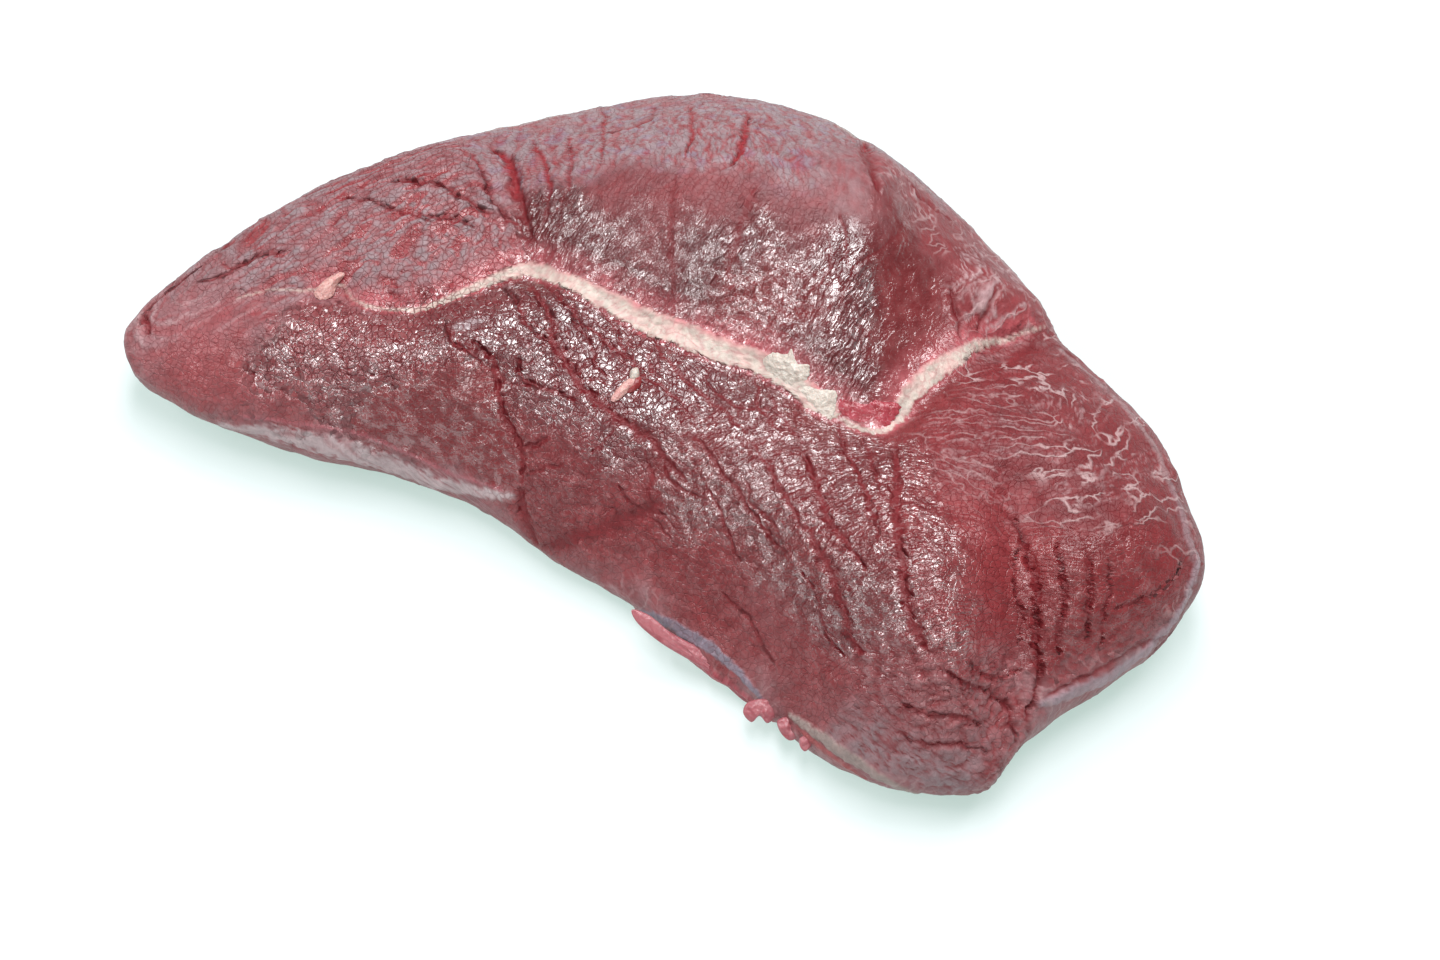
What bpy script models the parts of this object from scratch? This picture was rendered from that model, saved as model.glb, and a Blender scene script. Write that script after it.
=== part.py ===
"""A raw bolar roast: one solid cut of beef lying on its cut underside.

The plan is a half moon. The far muscle is a thick hump along the curved back,
the near muscle is thinner and slopes down to a thin edge, and a seam runs
between them from the thin end to the blocky thick end. The skin is worked out
from named stations, spot heights, furrows and ridges, and a cube divided into
even squares is wrapped onto it.

X runs from the thin end to the thick end, Y from the straight near side to the
curved back, Z up from the surface it lies on. The origin is under its middle.
"""

from math import pi

import bmesh
import bpy
import numpy as np

MM = 0.001
DIVISIONS = 28           # squares along each edge of the cube
LENGTH = 360.0           # along X, thin end to thick end
DEPTH = 220.0            # along Y, near side to back
SHOULDER_POWER = 2.2     # 2 is an elliptic shoulder, more is squarer
TUCK_POWER = 1.8         # the same for the turn down to the underside
LEAST_RISE = 4.0         # the top face is at least this far above the rim

# Stations round the widest outline, from the thin tip along the near side:
# x, y, height of the rim, width of the shoulder above it, width of the tuck below it
THIN_TIP = [
    (-180, -50, 22, 22, 16),
    (-172, -60, 20, 24, 16),
    (-157, -64, 19, 26, 17)]
NEAR_SIDE = [
    (-132, -66, 19, 27, 17),
    (-98, -63, 18, 26, 15),
    (-72, -58, 15, 26, 12),
    (-45, -57, 11, 32, 8),
    (-16, -64, 9, 38, 7),
    (12, -69, 8, 40, 6),
    (37, -78, 8, 40, 6),
    (62, -85, 8, 36, 6),
    (87, -96, 10, 33, 8),
    (115, -100, 14, 28, 11)]
THICK_SIDE = [
    (133, -96, 16, 26, 12),
    (145, -89, 18, 25, 13),
    (148, -75, 19, 23, 13),
    (154, -60, 19, 23, 13),
    (166, -41, 19, 25, 13),
    (177, -20, 21, 26, 14),
    (180, 4, 24, 28, 15),
    (168, 25, 26, 32, 16),
    (150, 44, 27, 34, 17),
    (127, 58, 27, 35, 17)]
BACK = [
    (107, 69, 26, 34, 17),
    (96, 80, 26, 36, 17),
    (72, 94, 26, 42, 17),
    (48, 106, 26, 48, 17),
    (20, 115, 27, 56, 18),
    (-10, 120, 27, 58, 18),
    (-40, 115, 27, 56, 18),
    (-68, 100, 26, 52, 17),
    (-92, 80, 25, 46, 17),
    (-116, 57, 24, 42, 17),
    (-140, 30, 24, 38, 16),
    (-160, 3, 23, 32, 16),
    (-174, -22, 22, 26, 16),
    (-180, -39, 22, 23, 16)]
RIM = np.array(THIN_TIP + NEAR_SIDE + THICK_SIDE + BACK, float)

# Heights of the top face at named spots: x, y, z
FAR_MUSCLE = [
    (-158, -33, 38), (-146, -13, 47), (-118, -1, 56), (-94, 19, 63), (-70, 26, 61),
    (-42, 32, 74), (-13, 47, 82), (18, 55, 83), (40, 62, 79), (53, 62, 68),
    (72, 65, 60), (91, 62, 52), (-33, 13, 68), (3, 12, 68), (35, 12, 66),
    (56, 9, 63), (68, 35, 59), (73, 10, 55), (-60, 70, 60), (0, 85, 74),
    (40, 90, 70), (70, 80, 55)]
SEAM = [
    (-139, -32, 44), (-111, -22, 50), (-85, -22, 53), (-69, -9, 57), (-53, 5, 60),
    (-14, 2, 60), (22, 0, 59), (52, -5, 57), (72, -5, 55), (82, 21, 54), (93, 47, 49)]
NEAR_MUSCLE = [
    (-150, -60, 34), (-108, -55, 48), (-104, -65, 40), (-70, -44, 54), (-71, -58, 44),
    (-50, -26, 60), (-39, -49, 46), (-15, -26, 57), (-5, -47, 47), (8, -62, 31),
    (23, -34, 56), (35, -59, 42), (48, -73, 24), (61, -43, 58), (73, -70, 46),
    (81, -88, 26), (82, -36, 61), (104, -66, 61), (110, -51, 66), (125, -70, 57),
    (114, -89, 44), (129, -95, 34), (140, -73, 38)]
THICK_END = [
    (98, -3, 60), (121, -27, 61), (136, -51, 48), (127, 9, 60), (142, -30, 56),
    (148, -4, 57), (165, -29, 46), (152, -53, 38), (156, 13, 50)]
SPOTS = np.array(FAR_MUSCLE + SEAM + NEAR_MUSCLE + THICK_END, float)

# Furrows pressed into the top face: path, depth, half width
FURROWS = {
    "seam": ([(-150, -36), (-139, -32), (-111, -22), (-98, -23), (-85, -22), (-69, -9),
              (-53, 5), (-33, 5), (-14, 2), (22, 0), (40, -3), (56, -8), (72, -6),
              (80, 8), (88, 30), (104, 66)], 3.0, 10),
    "fold in the far muscle": ([(-100, 76), (-92, 60), (-84, 40), (-70, 24), (-57, 8)], 5.0, 12),
    "trough beside the crest": ([(70, 62), (76, 42), (76, 22)], 2.5, 13),
    "notch in the back": ([(112, 84), (104, 66), (90, 50)], 7.0, 12),
    "cleft in the thick end": ([(150, -86), (142, -70), (136, -51), (130, -32), (122, -12)], 6.0, 13),
    "fold in the near side": ([(-60, -66), (-52, -50), (-46, -36)], 3.0, 12)}
# Ridges that stand up from it, the same way
RIDGES = {
    "crest of the far muscle": ([(28, 104), (40, 84), (46, 60), (46, 34), (44, 10)], 4.0, 13),
    "bulge of the near muscle": ([(84, -30), (100, -52), (116, -72)], 2.5, 18)}

CENTRE = (0.0, 5.0)      # the meridians run out from here
MERIDIANS = 360
STEPS = 160


def closed_curve(rows, count):
    """A smooth closed curve through the rows, count points evenly spaced"""
    m = len(rows)
    d = np.linalg.norm(np.roll(rows[:, :2], -1, 0) - rows[:, :2], axis=1)
    t = np.r_[0, np.cumsum(d)]
    s = np.arange(count) * t[-1] / count
    i = np.clip(np.searchsorted(t, s, side='right') - 1, 0, m - 1)
    u = ((s - t[i]) / d[i])[:, None]
    p0, p1, p2, p3 = rows[i - 1], rows[i], rows[(i + 1) % m], rows[(i + 2) % m]
    before, here, after = d[i - 1][:, None], d[i][:, None], d[(i + 1) % m][:, None]
    m1 = ((p2 - p1) / here * before + (p1 - p0) / before * here) / (before + here) * here
    m2 = ((p3 - p2) / after * here + (p2 - p1) / here * after) / (here + after) * here
    return ((2 * u**3 - 3 * u**2 + 1) * p1 + (u**3 - 2 * u**2 + u) * m1
            + (-2 * u**3 + 3 * u**2) * p2 + (u**3 - u**2) * m2)


def plate(a, b):
    """The bending of a thin plate pinned at b, at the places a"""
    r2 = ((a[:, None, :] - b[None]) ** 2).sum(2) + 1e-9
    return r2 * np.log(r2) / 2


def crown(xy):
    """Height of the top face: a thin plate through the spot heights"""
    pins, n = SPOTS[:, :2] / 100, len(SPOTS)
    k = np.zeros((n + 3, n + 3))
    k[:n, :n] = plate(pins, pins) + np.eye(n) * 0.002
    k[:n, n:] = np.c_[np.ones(n), pins]
    k[n:, :n] = k[:n, n:].T
    w = np.linalg.solve(k, np.r_[SPOTS[:, 2], 0, 0, 0])
    out = np.empty(len(xy))
    for lo in range(0, len(xy), 20000):
        q = xy[lo:lo + 20000] / 100
        out[lo:lo + 20000] = plate(q, pins) @ w[:n] + w[n] + q @ w[n + 1:]
    return out


def to_rim(xy, rim):
    """Distance to the rim, and the rim's height and widths at that place"""
    a = rim[::2]
    ab = (np.roll(a, -1, 0) - a)
    length2 = (ab[:, :2] ** 2).sum(1)
    dist, there = np.empty(len(xy)), np.empty((len(xy), 3))
    for lo in range(0, len(xy), 4000):
        q = xy[lo:lo + 4000]
        ap = q[:, None] - a[None, :, :2]
        t = np.clip((ap * ab[:, :2]).sum(2) / length2, 0, 1)
        d2 = ((ap - t[..., None] * ab[:, :2]) ** 2).sum(2)
        i, row = d2.argmin(1), np.arange(len(q))
        dist[lo:lo + 4000] = np.sqrt(d2[row, i])
        there[lo:lo + 4000] = a[i, 2:] + ab[i, 2:] * t[row, i][:, None]
    return dist, there


def beside(xy, path):
    """Distance to a path"""
    path = np.array(path, float)
    best = np.full(len(xy), 1e9)
    for a, b in zip(path[:-1], path[1:]):
        t = np.clip(((xy - a) @ (b - a)) / ((b - a) @ (b - a)), 0, 1)
        best = np.minimum(best, np.linalg.norm(xy - a - t[:, None] * (b - a), axis=1))
    return best


def relief(xy):
    out = np.zeros(len(xy))
    for sign, group in ((-1, FURROWS), (1, RIDGES)):
        for path, height, width in group.values():
            out += sign * height * np.exp(-2 * (beside(xy, path) / width) ** 2)
    return out


def turn(t, power):
    """A rounded corner: 0 to 1, steep at first and level at the end"""
    return (1 - (1 - np.clip(t, 0, 1)) ** power) ** (1 / power)


def heights(xy, rim):
    """Top face and underside over the places xy"""
    dist, (level, shoulder, tuck) = (lambda d, r: (d, r.T))(*to_rim(xy, rim))
    top = np.maximum(crown(xy), level + LEAST_RISE)
    top += relief(xy) * np.clip(1.6 * dist / shoulder, 0, 1)
    return (level + (top - level) * turn(dist / shoulder, SHOULDER_POWER),
            level * (1 - turn(dist / tuck, TUCK_POWER)))


def meridians():
    """Points at even steps down each meridian: from the middle of the top face
    out to the rim, and back to the middle of the underside"""
    rim = closed_curve(RIM, MERIDIANS)
    fine = closed_curve(RIM, 720)
    f = 1 - (1 - np.linspace(0, 1, STEPS + 1)) ** 2
    centre = np.array(CENTRE)
    xy = centre + f[None, :, None] * (rim[:, None, :2] - centre)
    top, under = (h.reshape(MERIDIANS, STEPS + 1) for h in heights(xy.reshape(-1, 2), fine))
    top[:, -1] = under[:, -1] = rim[:, 2]
    halves = []
    for half in (np.dstack([xy, top]), np.dstack([xy, under])[:, ::-1]):
        step = np.linalg.norm(np.diff(half, axis=1), axis=2)
        s = np.concatenate([np.zeros((MERIDIANS, 1)), np.cumsum(step, 1)], 1)
        s /= s[:, -1:]
        want = np.linspace(0, 1, STEPS + 1)
        halves.append(np.stack([
            np.stack([np.interp(want, s[r], half[r, :, c]) for c in range(3)], 1)
            for r in range(MERIDIANS)]))
    return np.concatenate([halves[0], halves[1][:, 1:]], 1)


def wrap(points, grid):
    """Carry points of the unit sphere onto the meridians, pole on the crown"""
    rows, cols = grid.shape[0], grid.shape[1] - 1
    az = (np.arctan2(points[:, 1], points[:, 0]) / (2 * pi) - 0.5) % 1 * rows
    lat = np.arccos(np.clip(points[:, 2], -1, 1)) / pi * cols
    i, j = np.floor(az).astype(int) % rows, np.minimum(lat.astype(int), cols - 1)
    u, v = (az - np.floor(az))[:, None], (lat - j)[:, None]
    k = (i + 1) % rows
    return ((grid[i, j] * (1 - u) + grid[k, j] * u) * (1 - v)
            + (grid[i, j + 1] * (1 - u) + grid[k, j + 1] * u) * v)


def meat():
    mat = bpy.data.materials.new("raw_beef")
    mat.use_nodes = True
    shader = mat.node_tree.nodes["Principled BSDF"]
    shader.inputs["Base Color"].default_value = (0.19, 0.035, 0.036, 1)
    shader.inputs["Roughness"].default_value = 0.35
    shader.inputs["Metallic"].default_value = 0.0
    mat.diffuse_color = (0.19, 0.035, 0.036, 1)
    return mat


def main():
    for obj in list(bpy.data.objects):
        bpy.data.objects.remove(obj)
    group = bpy.data.collections.new("bolar_roast")
    bpy.context.scene.collection.children.link(group)

    bm = bmesh.new()
    bmesh.ops.create_cube(bm, size=2)
    bmesh.ops.subdivide_edges(bm, edges=bm.edges[:], cuts=DIVISIONS - 1, use_grid_fill=True)
    cube = np.array([v.co[:] for v in bm.verts])
    ball = np.tan(cube * pi / 4)
    ball /= np.linalg.norm(ball, axis=1, keepdims=True)
    skin = wrap(ball, meridians())
    low, high = skin.min(0), skin.max(0)
    skin -= [(low[0] + high[0]) / 2, (low[1] + high[1]) / 2, low[2]]
    skin[:, 0] *= LENGTH / (high[0] - low[0])
    skin[:, 1] *= DEPTH / (high[1] - low[1])
    for vert, place in zip(bm.verts, skin * MM):
        vert.co = place
    bmesh.ops.triangulate(bm, faces=bm.faces[:])
    bmesh.ops.recalc_face_normals(bm, faces=bm.faces[:])
    mesh = bpy.data.meshes.new("bolar_roast")
    bm.to_mesh(mesh)
    bm.free()
    mesh.shade_smooth()
    mesh.materials.append(meat())
    roast = bpy.data.objects.new("bolar_roast", mesh)
    group.objects.link(roast)


main()
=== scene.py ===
"""Looks of a raw bolar roast: wet dark red beef with a cream fat seam.

The form is the same skin as the solid's, worked out from the same stations and
spot heights, wrapped onto a much finer cube. Folds, furrows, wrinkles and the
crackled film of the meat are pressed into that mesh. Places named as (u, v) are
seen from the camera, in a frame 1440 wide and 960 high, and are found on the
skin by looking through it, so each feature sits on the meat itself.
"""

from math import cos, pi, radians, sin

import bmesh
import bpy
import numpy as np
from mathutils import Matrix, Vector
from mathutils.kdtree import KDTree


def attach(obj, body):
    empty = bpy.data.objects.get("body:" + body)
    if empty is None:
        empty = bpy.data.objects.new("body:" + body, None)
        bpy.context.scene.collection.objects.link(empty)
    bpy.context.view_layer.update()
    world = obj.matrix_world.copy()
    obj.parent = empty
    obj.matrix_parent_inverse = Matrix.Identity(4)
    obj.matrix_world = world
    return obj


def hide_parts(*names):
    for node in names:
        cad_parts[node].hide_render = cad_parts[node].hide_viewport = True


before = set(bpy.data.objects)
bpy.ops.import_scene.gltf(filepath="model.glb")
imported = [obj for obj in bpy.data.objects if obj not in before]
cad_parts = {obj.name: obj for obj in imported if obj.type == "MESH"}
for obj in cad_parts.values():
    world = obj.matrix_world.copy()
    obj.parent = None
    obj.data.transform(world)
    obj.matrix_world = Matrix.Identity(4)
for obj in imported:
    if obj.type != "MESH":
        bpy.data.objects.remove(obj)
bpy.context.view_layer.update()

MM = 0.001
LEVEL = 3                # halvings of the 28 squares along each edge of the cube
SQUARES = 28
LENGTH, DEPTH = 360.0, 220.0
CENTRE = (0.0, 5.0)
EQUATOR = 0.68           # share of each meridian's steps that lies above the rim

# ---------------------------------------------------------------- the form

THIN_TIP = [
    (-180, -50, 22, 22, 16), (-172, -60, 20, 24, 16), (-157, -64, 19, 26, 17)]
NEAR_SIDE = [
    (-132, -66, 19, 27, 17), (-98, -63, 18, 26, 15), (-72, -58, 15, 26, 12),
    (-45, -57, 11, 32, 8), (-16, -64, 9, 38, 7), (12, -69, 8, 40, 6), (37, -78, 8, 40, 6),
    (62, -85, 8, 36, 6), (87, -96, 10, 33, 8), (115, -100, 14, 28, 11)]
THICK_SIDE = [
    (133, -96, 16, 26, 12), (145, -89, 18, 25, 13), (148, -75, 19, 23, 13),
    (154, -60, 19, 23, 13), (166, -41, 19, 25, 13), (177, -20, 21, 26, 14),
    (180, 4, 24, 28, 15), (168, 25, 26, 32, 16), (150, 44, 27, 34, 17), (127, 58, 27, 35, 17)]
BACK = [
    (107, 69, 26, 34, 17), (96, 80, 26, 36, 17), (72, 94, 26, 42, 17), (48, 106, 26, 48, 17),
    (20, 115, 27, 56, 18), (-10, 120, 27, 58, 18), (-40, 115, 27, 56, 18),
    (-68, 100, 26, 52, 17), (-92, 80, 25, 46, 17), (-116, 57, 24, 42, 17),
    (-140, 30, 24, 38, 16), (-160, 3, 23, 32, 16), (-174, -22, 22, 26, 16),
    (-180, -39, 22, 23, 16)]
RIM = np.array(THIN_TIP + NEAR_SIDE + THICK_SIDE + BACK, float)

FAR_MUSCLE = [
    (-158, -33, 38), (-146, -13, 47), (-118, -1, 56), (-94, 19, 63), (-70, 26, 61),
    (-42, 32, 74), (-13, 47, 82), (18, 55, 83), (40, 62, 79), (53, 62, 68),
    (72, 65, 60), (91, 62, 52), (-33, 13, 68), (3, 12, 68), (35, 12, 66),
    (56, 9, 63), (68, 35, 59), (73, 10, 55), (-60, 70, 60), (0, 85, 74),
    (40, 90, 70), (70, 80, 55)]
SEAM = [
    (-139, -32, 44), (-111, -22, 50), (-85, -22, 53), (-69, -9, 57), (-53, 5, 60),
    (-14, 2, 60), (22, 0, 59), (52, -5, 57), (72, -5, 55), (82, 21, 54), (93, 47, 49)]
NEAR_MUSCLE = [
    (-150, -60, 34), (-108, -55, 48), (-104, -65, 40), (-70, -44, 54), (-71, -58, 44),
    (-50, -26, 60), (-39, -49, 46), (-15, -26, 57), (-5, -47, 47), (8, -62, 31),
    (23, -34, 56), (35, -59, 42), (48, -73, 24), (61, -43, 58), (73, -70, 46),
    (81, -88, 26), (82, -36, 61), (104, -66, 61), (110, -51, 66), (125, -70, 57),
    (114, -89, 44), (129, -95, 34), (140, -73, 38)]
THICK_END = [
    (98, -3, 60), (121, -27, 61), (136, -51, 48), (127, 9, 60), (142, -30, 56),
    (148, -4, 57), (165, -29, 46), (152, -53, 38), (156, 13, 50)]
SPOTS = np.array(FAR_MUSCLE + SEAM + NEAR_MUSCLE + THICK_END, float)

FURROWS = {
    "seam": ([(-150, -36), (-139, -32), (-111, -22), (-98, -23), (-85, -22), (-69, -9),
              (-53, 5), (-33, 5), (-14, 2), (22, 0), (40, -3), (56, -8), (72, -6),
              (80, 8), (88, 30), (104, 66)], 3.0, 10),
    "fold in the far muscle": ([(-100, 76), (-92, 60), (-84, 40), (-70, 24), (-57, 8)], 5.0, 12),
    "trough beside the crest": ([(70, 62), (76, 42), (76, 22)], 2.5, 13),
    "notch in the back": ([(112, 84), (104, 66), (90, 50)], 7.0, 12),
    "cleft in the thick end": ([(150, -86), (142, -70), (136, -51), (130, -32), (122, -12)], 6.0, 13),
    "fold in the near side": ([(-60, -66), (-52, -50), (-46, -36)], 3.0, 12)}
RIDGES = {
    "crest of the far muscle": ([(28, 104), (40, 84), (46, 60), (46, 34), (44, 10)], 4.0, 13),
    "bulge of the near muscle": ([(84, -30), (100, -52), (116, -72)], 2.5, 18)}

MERIDIANS, STEPS = 900, 260


def closed_curve(rows, count):
    m = len(rows)
    d = np.linalg.norm(np.roll(rows[:, :2], -1, 0) - rows[:, :2], axis=1)
    t = np.r_[0, np.cumsum(d)]
    s = np.arange(count) * t[-1] / count
    i = np.clip(np.searchsorted(t, s, side='right') - 1, 0, m - 1)
    u = ((s - t[i]) / d[i])[:, None]
    p0, p1, p2, p3 = rows[i - 1], rows[i], rows[(i + 1) % m], rows[(i + 2) % m]
    before, here, after = d[i - 1][:, None], d[i][:, None], d[(i + 1) % m][:, None]
    m1 = ((p2 - p1) / here * before + (p1 - p0) / before * here) / (before + here) * here
    m2 = ((p3 - p2) / after * here + (p2 - p1) / here * after) / (here + after) * here
    return ((2 * u**3 - 3 * u**2 + 1) * p1 + (u**3 - 2 * u**2 + u) * m1
            + (-2 * u**3 + 3 * u**2) * p2 + (u**3 - u**2) * m2)


def plate(a, b):
    r2 = ((a[:, None, :] - b[None]) ** 2).sum(2) + 1e-9
    return r2 * np.log(r2) / 2


def crown(xy):
    pins, n = SPOTS[:, :2] / 100, len(SPOTS)
    k = np.zeros((n + 3, n + 3))
    k[:n, :n] = plate(pins, pins) + np.eye(n) * 0.002
    k[:n, n:] = np.c_[np.ones(n), pins]
    k[n:, :n] = k[:n, n:].T
    w = np.linalg.solve(k, np.r_[SPOTS[:, 2], 0, 0, 0])
    out = np.empty(len(xy))
    for lo in range(0, len(xy), 20000):
        q = xy[lo:lo + 20000] / 100
        out[lo:lo + 20000] = plate(q, pins) @ w[:n] + w[n] + q @ w[n + 1:]
    return out


def to_rim(xy, rim):
    a = rim[::2]
    ab = (np.roll(a, -1, 0) - a)
    length2 = (ab[:, :2] ** 2).sum(1)
    dist, there = np.empty(len(xy)), np.empty((len(xy), 3))
    for lo in range(0, len(xy), 4000):
        q = xy[lo:lo + 4000]
        ap = q[:, None] - a[None, :, :2]
        t = np.clip((ap * ab[:, :2]).sum(2) / length2, 0, 1)
        d2 = ((ap - t[..., None] * ab[:, :2]) ** 2).sum(2)
        i, row = d2.argmin(1), np.arange(len(q))
        dist[lo:lo + 4000] = np.sqrt(d2[row, i])
        there[lo:lo + 4000] = a[i, 2:] + ab[i, 2:] * t[row, i][:, None]
    return dist, there


def beside(p, path):
    """Distance to a path in 2 or 3 dimensions, and the share of it passed"""
    path = np.array(path, float)
    seg = np.linalg.norm(np.diff(path, axis=0), axis=1)
    start = np.r_[0, np.cumsum(seg)]
    best, along = np.full(len(p), 1e9), np.zeros(len(p))
    for k in range(len(seg)):
        a, ab = path[k], path[k + 1] - path[k]
        t = np.clip(((p - a) @ ab) / max(ab @ ab, 1e-9), 0, 1)
        d = np.linalg.norm(p - a - t[:, None] * ab, axis=1)
        near = d < best
        best[near], along[near] = d[near], (start[k] + t * seg[k])[near] / start[-1]
    return best, along


def relief(xy):
    out = np.zeros(len(xy))
    for sign, group in ((-1, FURROWS), (1, RIDGES)):
        for path, height, width in group.values():
            out += sign * height * np.exp(-2 * (beside(xy, path)[0] / width) ** 2)
    return out


def turn(t, power):
    return (1 - (1 - np.clip(t, 0, 1)) ** power) ** (1 / power)


def heights(xy, rim):
    dist, there = to_rim(xy, rim)
    level, shoulder, tuck = there.T
    top = np.maximum(crown(xy), level + 4.0)
    top += relief(xy) * np.clip(1.6 * dist / shoulder, 0, 1)
    return (level + (top - level) * turn(dist / shoulder, 2.2),
            level * (1 - turn(dist / tuck, 1.8)))


def meridians():
    """Even steps down each meridian, more of them above the rim than below it"""
    rim = closed_curve(RIM, MERIDIANS)
    fine = closed_curve(RIM, 720)
    f = 1 - (1 - np.linspace(0, 1, 201)) ** 2
    centre = np.array(CENTRE)
    xy = centre + f[None, :, None] * (rim[:, None, :2] - centre)
    top, under = (h.reshape(MERIDIANS, 201) for h in heights(xy.reshape(-1, 2), fine))
    top[:, -1] = under[:, -1] = rim[:, 2]
    above = int(round(2 * STEPS * EQUATOR))
    halves = []
    for half, count in ((np.dstack([xy, top]), above),
                        (np.dstack([xy, under])[:, ::-1], 2 * STEPS - above)):
        step = np.linalg.norm(np.diff(half, axis=1), axis=2)
        s = np.concatenate([np.zeros((MERIDIANS, 1)), np.cumsum(step, 1)], 1)
        s /= s[:, -1:]
        want = np.linspace(0, 1, count + 1)
        halves.append(np.stack([
            np.stack([np.interp(want, s[r], half[r, :, c]) for c in range(3)], 1)
            for r in range(MERIDIANS)]))
    return np.concatenate([halves[0], halves[1][:, 1:]], 1), rim


def wrap(ball, grid):
    """Carry the ball onto the meridians. More of its turn goes to the near side."""
    rows, cols = grid.shape[0], grid.shape[1] - 1
    turns = (np.arctan2(ball[:, 1], ball[:, 0]) / (2 * pi) - 0.5) % 1
    lean, mid = 0.25, 0.25
    turns = turns - lean / (2 * pi) * (np.sin(2 * pi * (turns - mid)) + sin(2 * pi * mid))
    az = turns % 1 * rows
    colat = np.arccos(np.clip(ball[:, 2], -1, 1)) / pi
    lat = colat * cols
    i, j = np.floor(az).astype(int) % rows, np.minimum(lat.astype(int), cols - 1)
    u, v = (az - np.floor(az))[:, None], (lat - j)[:, None]
    k = (i + 1) % rows
    place = ((grid[i, j] * (1 - u) + grid[k, j] * u) * (1 - v)
             + (grid[i, j + 1] * (1 - u) + grid[k, j + 1] * u) * v)
    return place, az / rows, colat


# ------------------------------------------------------------- the camera

TARGET = np.array([27.7, -38.4, 30.0])
AZIMUTH, ELEVATION, DISTANCE = radians(24), radians(55), 1000.0
FOCAL = 3125.0           # in steps of the 1440-wide frame
BACKWARD = np.array([sin(AZIMUTH) * cos(ELEVATION), -cos(AZIMUTH) * cos(ELEVATION), sin(ELEVATION)])
RIGHT = np.array([cos(AZIMUTH), sin(AZIMUTH), 0.0])
UPWARD = np.cross(BACKWARD, RIGHT)
EYE = TARGET + BACKWARD * DISTANCE


def seen_at(p):
    """Where a place of the object appears in the 1440 by 960 frame"""
    d = p - EYE
    z = -(d @ BACKWARD)
    return np.stack([720 + FOCAL * (d @ RIGHT) / z, 480 - FOCAL * (d @ UPWARD) / z], 1)


# --------------------------------------------------------------- the noise

def scramble(cell, seed):
    with np.errstate(over='ignore'):
        h = (cell[..., 0].astype(np.uint32) * np.uint32(374761393)
             + cell[..., 1].astype(np.uint32) * np.uint32(668265263)
             + cell[..., 2].astype(np.uint32) * np.uint32(2246822519)
             + np.uint32(seed * 40503 + 977))
        h = (h ^ (h >> np.uint32(13))) * np.uint32(1274126177)
        h = (h ^ (h >> np.uint32(16))) * np.uint32(2654435761)
        return h ^ (h >> np.uint32(15))


SLOPES = np.array([(x, y, z) for x in (-1, 0, 1) for y in (-1, 0, 1) for z in (-1, 0, 1)
                   if abs(x) + abs(y) + abs(z) == 2] + [(1, 1, 0), (-1, 1, 0), (0, -1, 1), (0, -1, -1)], float)


def noise(p, seed=0):
    """Smooth noise, about -1 to 1"""
    i = np.floor(p).astype(np.int64)
    f = p - i
    u = f * f * f * (f * (f * 6 - 15) + 10)
    out = np.zeros(len(p))
    for dx in (0, 1):
        for dy in (0, 1):
            for dz in (0, 1):
                g = SLOPES[scramble(i + [dx, dy, dz], seed) & np.uint32(15)]
                w = ((u[:, 0] if dx else 1 - u[:, 0]) * (u[:, 1] if dy else 1 - u[:, 1])
                     * (u[:, 2] if dz else 1 - u[:, 2]))
                out += w * (g * (f - [dx, dy, dz])).sum(1)
    return out * 1.4


def rough_noise(p, octaves=3, seed=0, fall=0.5):
    out, size = np.zeros(len(p)), 1.0
    for k in range(octaves):
        out += size * noise(p * 2 ** k + 17.3 * k, seed + 31 * k)
        size *= fall
    return out


def cells(p, seed=0):
    """Irregular cells: distance to the nearest edge, and a number for each cell"""
    i = np.floor(p).astype(np.int64)
    f = p - i
    best = np.full(len(p), 1e9)
    nearest = np.zeros((len(p), 3))
    name = np.zeros(len(p), np.uint32)
    steps = [np.array((x, y, z)) for x in (-1, 0, 1) for y in (-1, 0, 1) for z in (-1, 0, 1)]

    def offset(step):
        h = scramble(i + step, seed)
        jitter = np.stack([(h & np.uint32(1023)), (h >> np.uint32(10)) & np.uint32(1023),
                           (h >> np.uint32(20)) & np.uint32(1023)], 1) / 1023.0
        return step + 0.08 + 0.84 * jitter - f, h
    for step in steps:
        r, h = offset(step)
        d = (r ** 2).sum(1)
        near = d < best
        best[near], nearest[near], name[near] = d[near], r[near], h[near]
    edge = np.full(len(p), 1e9)
    for step in steps:
        r, h = offset(step)
        apart = r - nearest
        length = np.linalg.norm(apart, axis=1)
        far = length > 1e-6
        e = ((r + nearest) * apart).sum(1)[far] / 2 / length[far]
        edge[far] = np.minimum(edge[far], e)
    return edge, (name & np.uint32(4095)) / 4095.0


def smooth(a, b, x):
    t = np.clip((x - a) / (b - a), 0, 1)
    return t * t * (3 - 2 * t)


# ------------------------------------------------------- the fine mesh

def cube_mesh():
    bm = bmesh.new()
    bmesh.ops.create_cube(bm, size=2)
    bmesh.ops.subdivide_edges(bm, edges=bm.edges[:], cuts=SQUARES - 1, use_grid_fill=True)
    mesh = bpy.data.meshes.new("coarse")
    bm.to_mesh(mesh)
    bm.free()
    obj = bpy.data.objects.new("coarse", mesh)
    bpy.context.scene.collection.objects.link(obj)
    halve = obj.modifiers.new("halve", 'SUBSURF')
    halve.subdivision_type = 'SIMPLE'
    halve.levels = halve.render_levels = LEVEL
    fine = bpy.data.meshes.new_from_object(obj.evaluated_get(bpy.context.evaluated_depsgraph_get()))
    bpy.data.objects.remove(obj)
    bpy.data.meshes.remove(mesh)
    return fine


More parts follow.
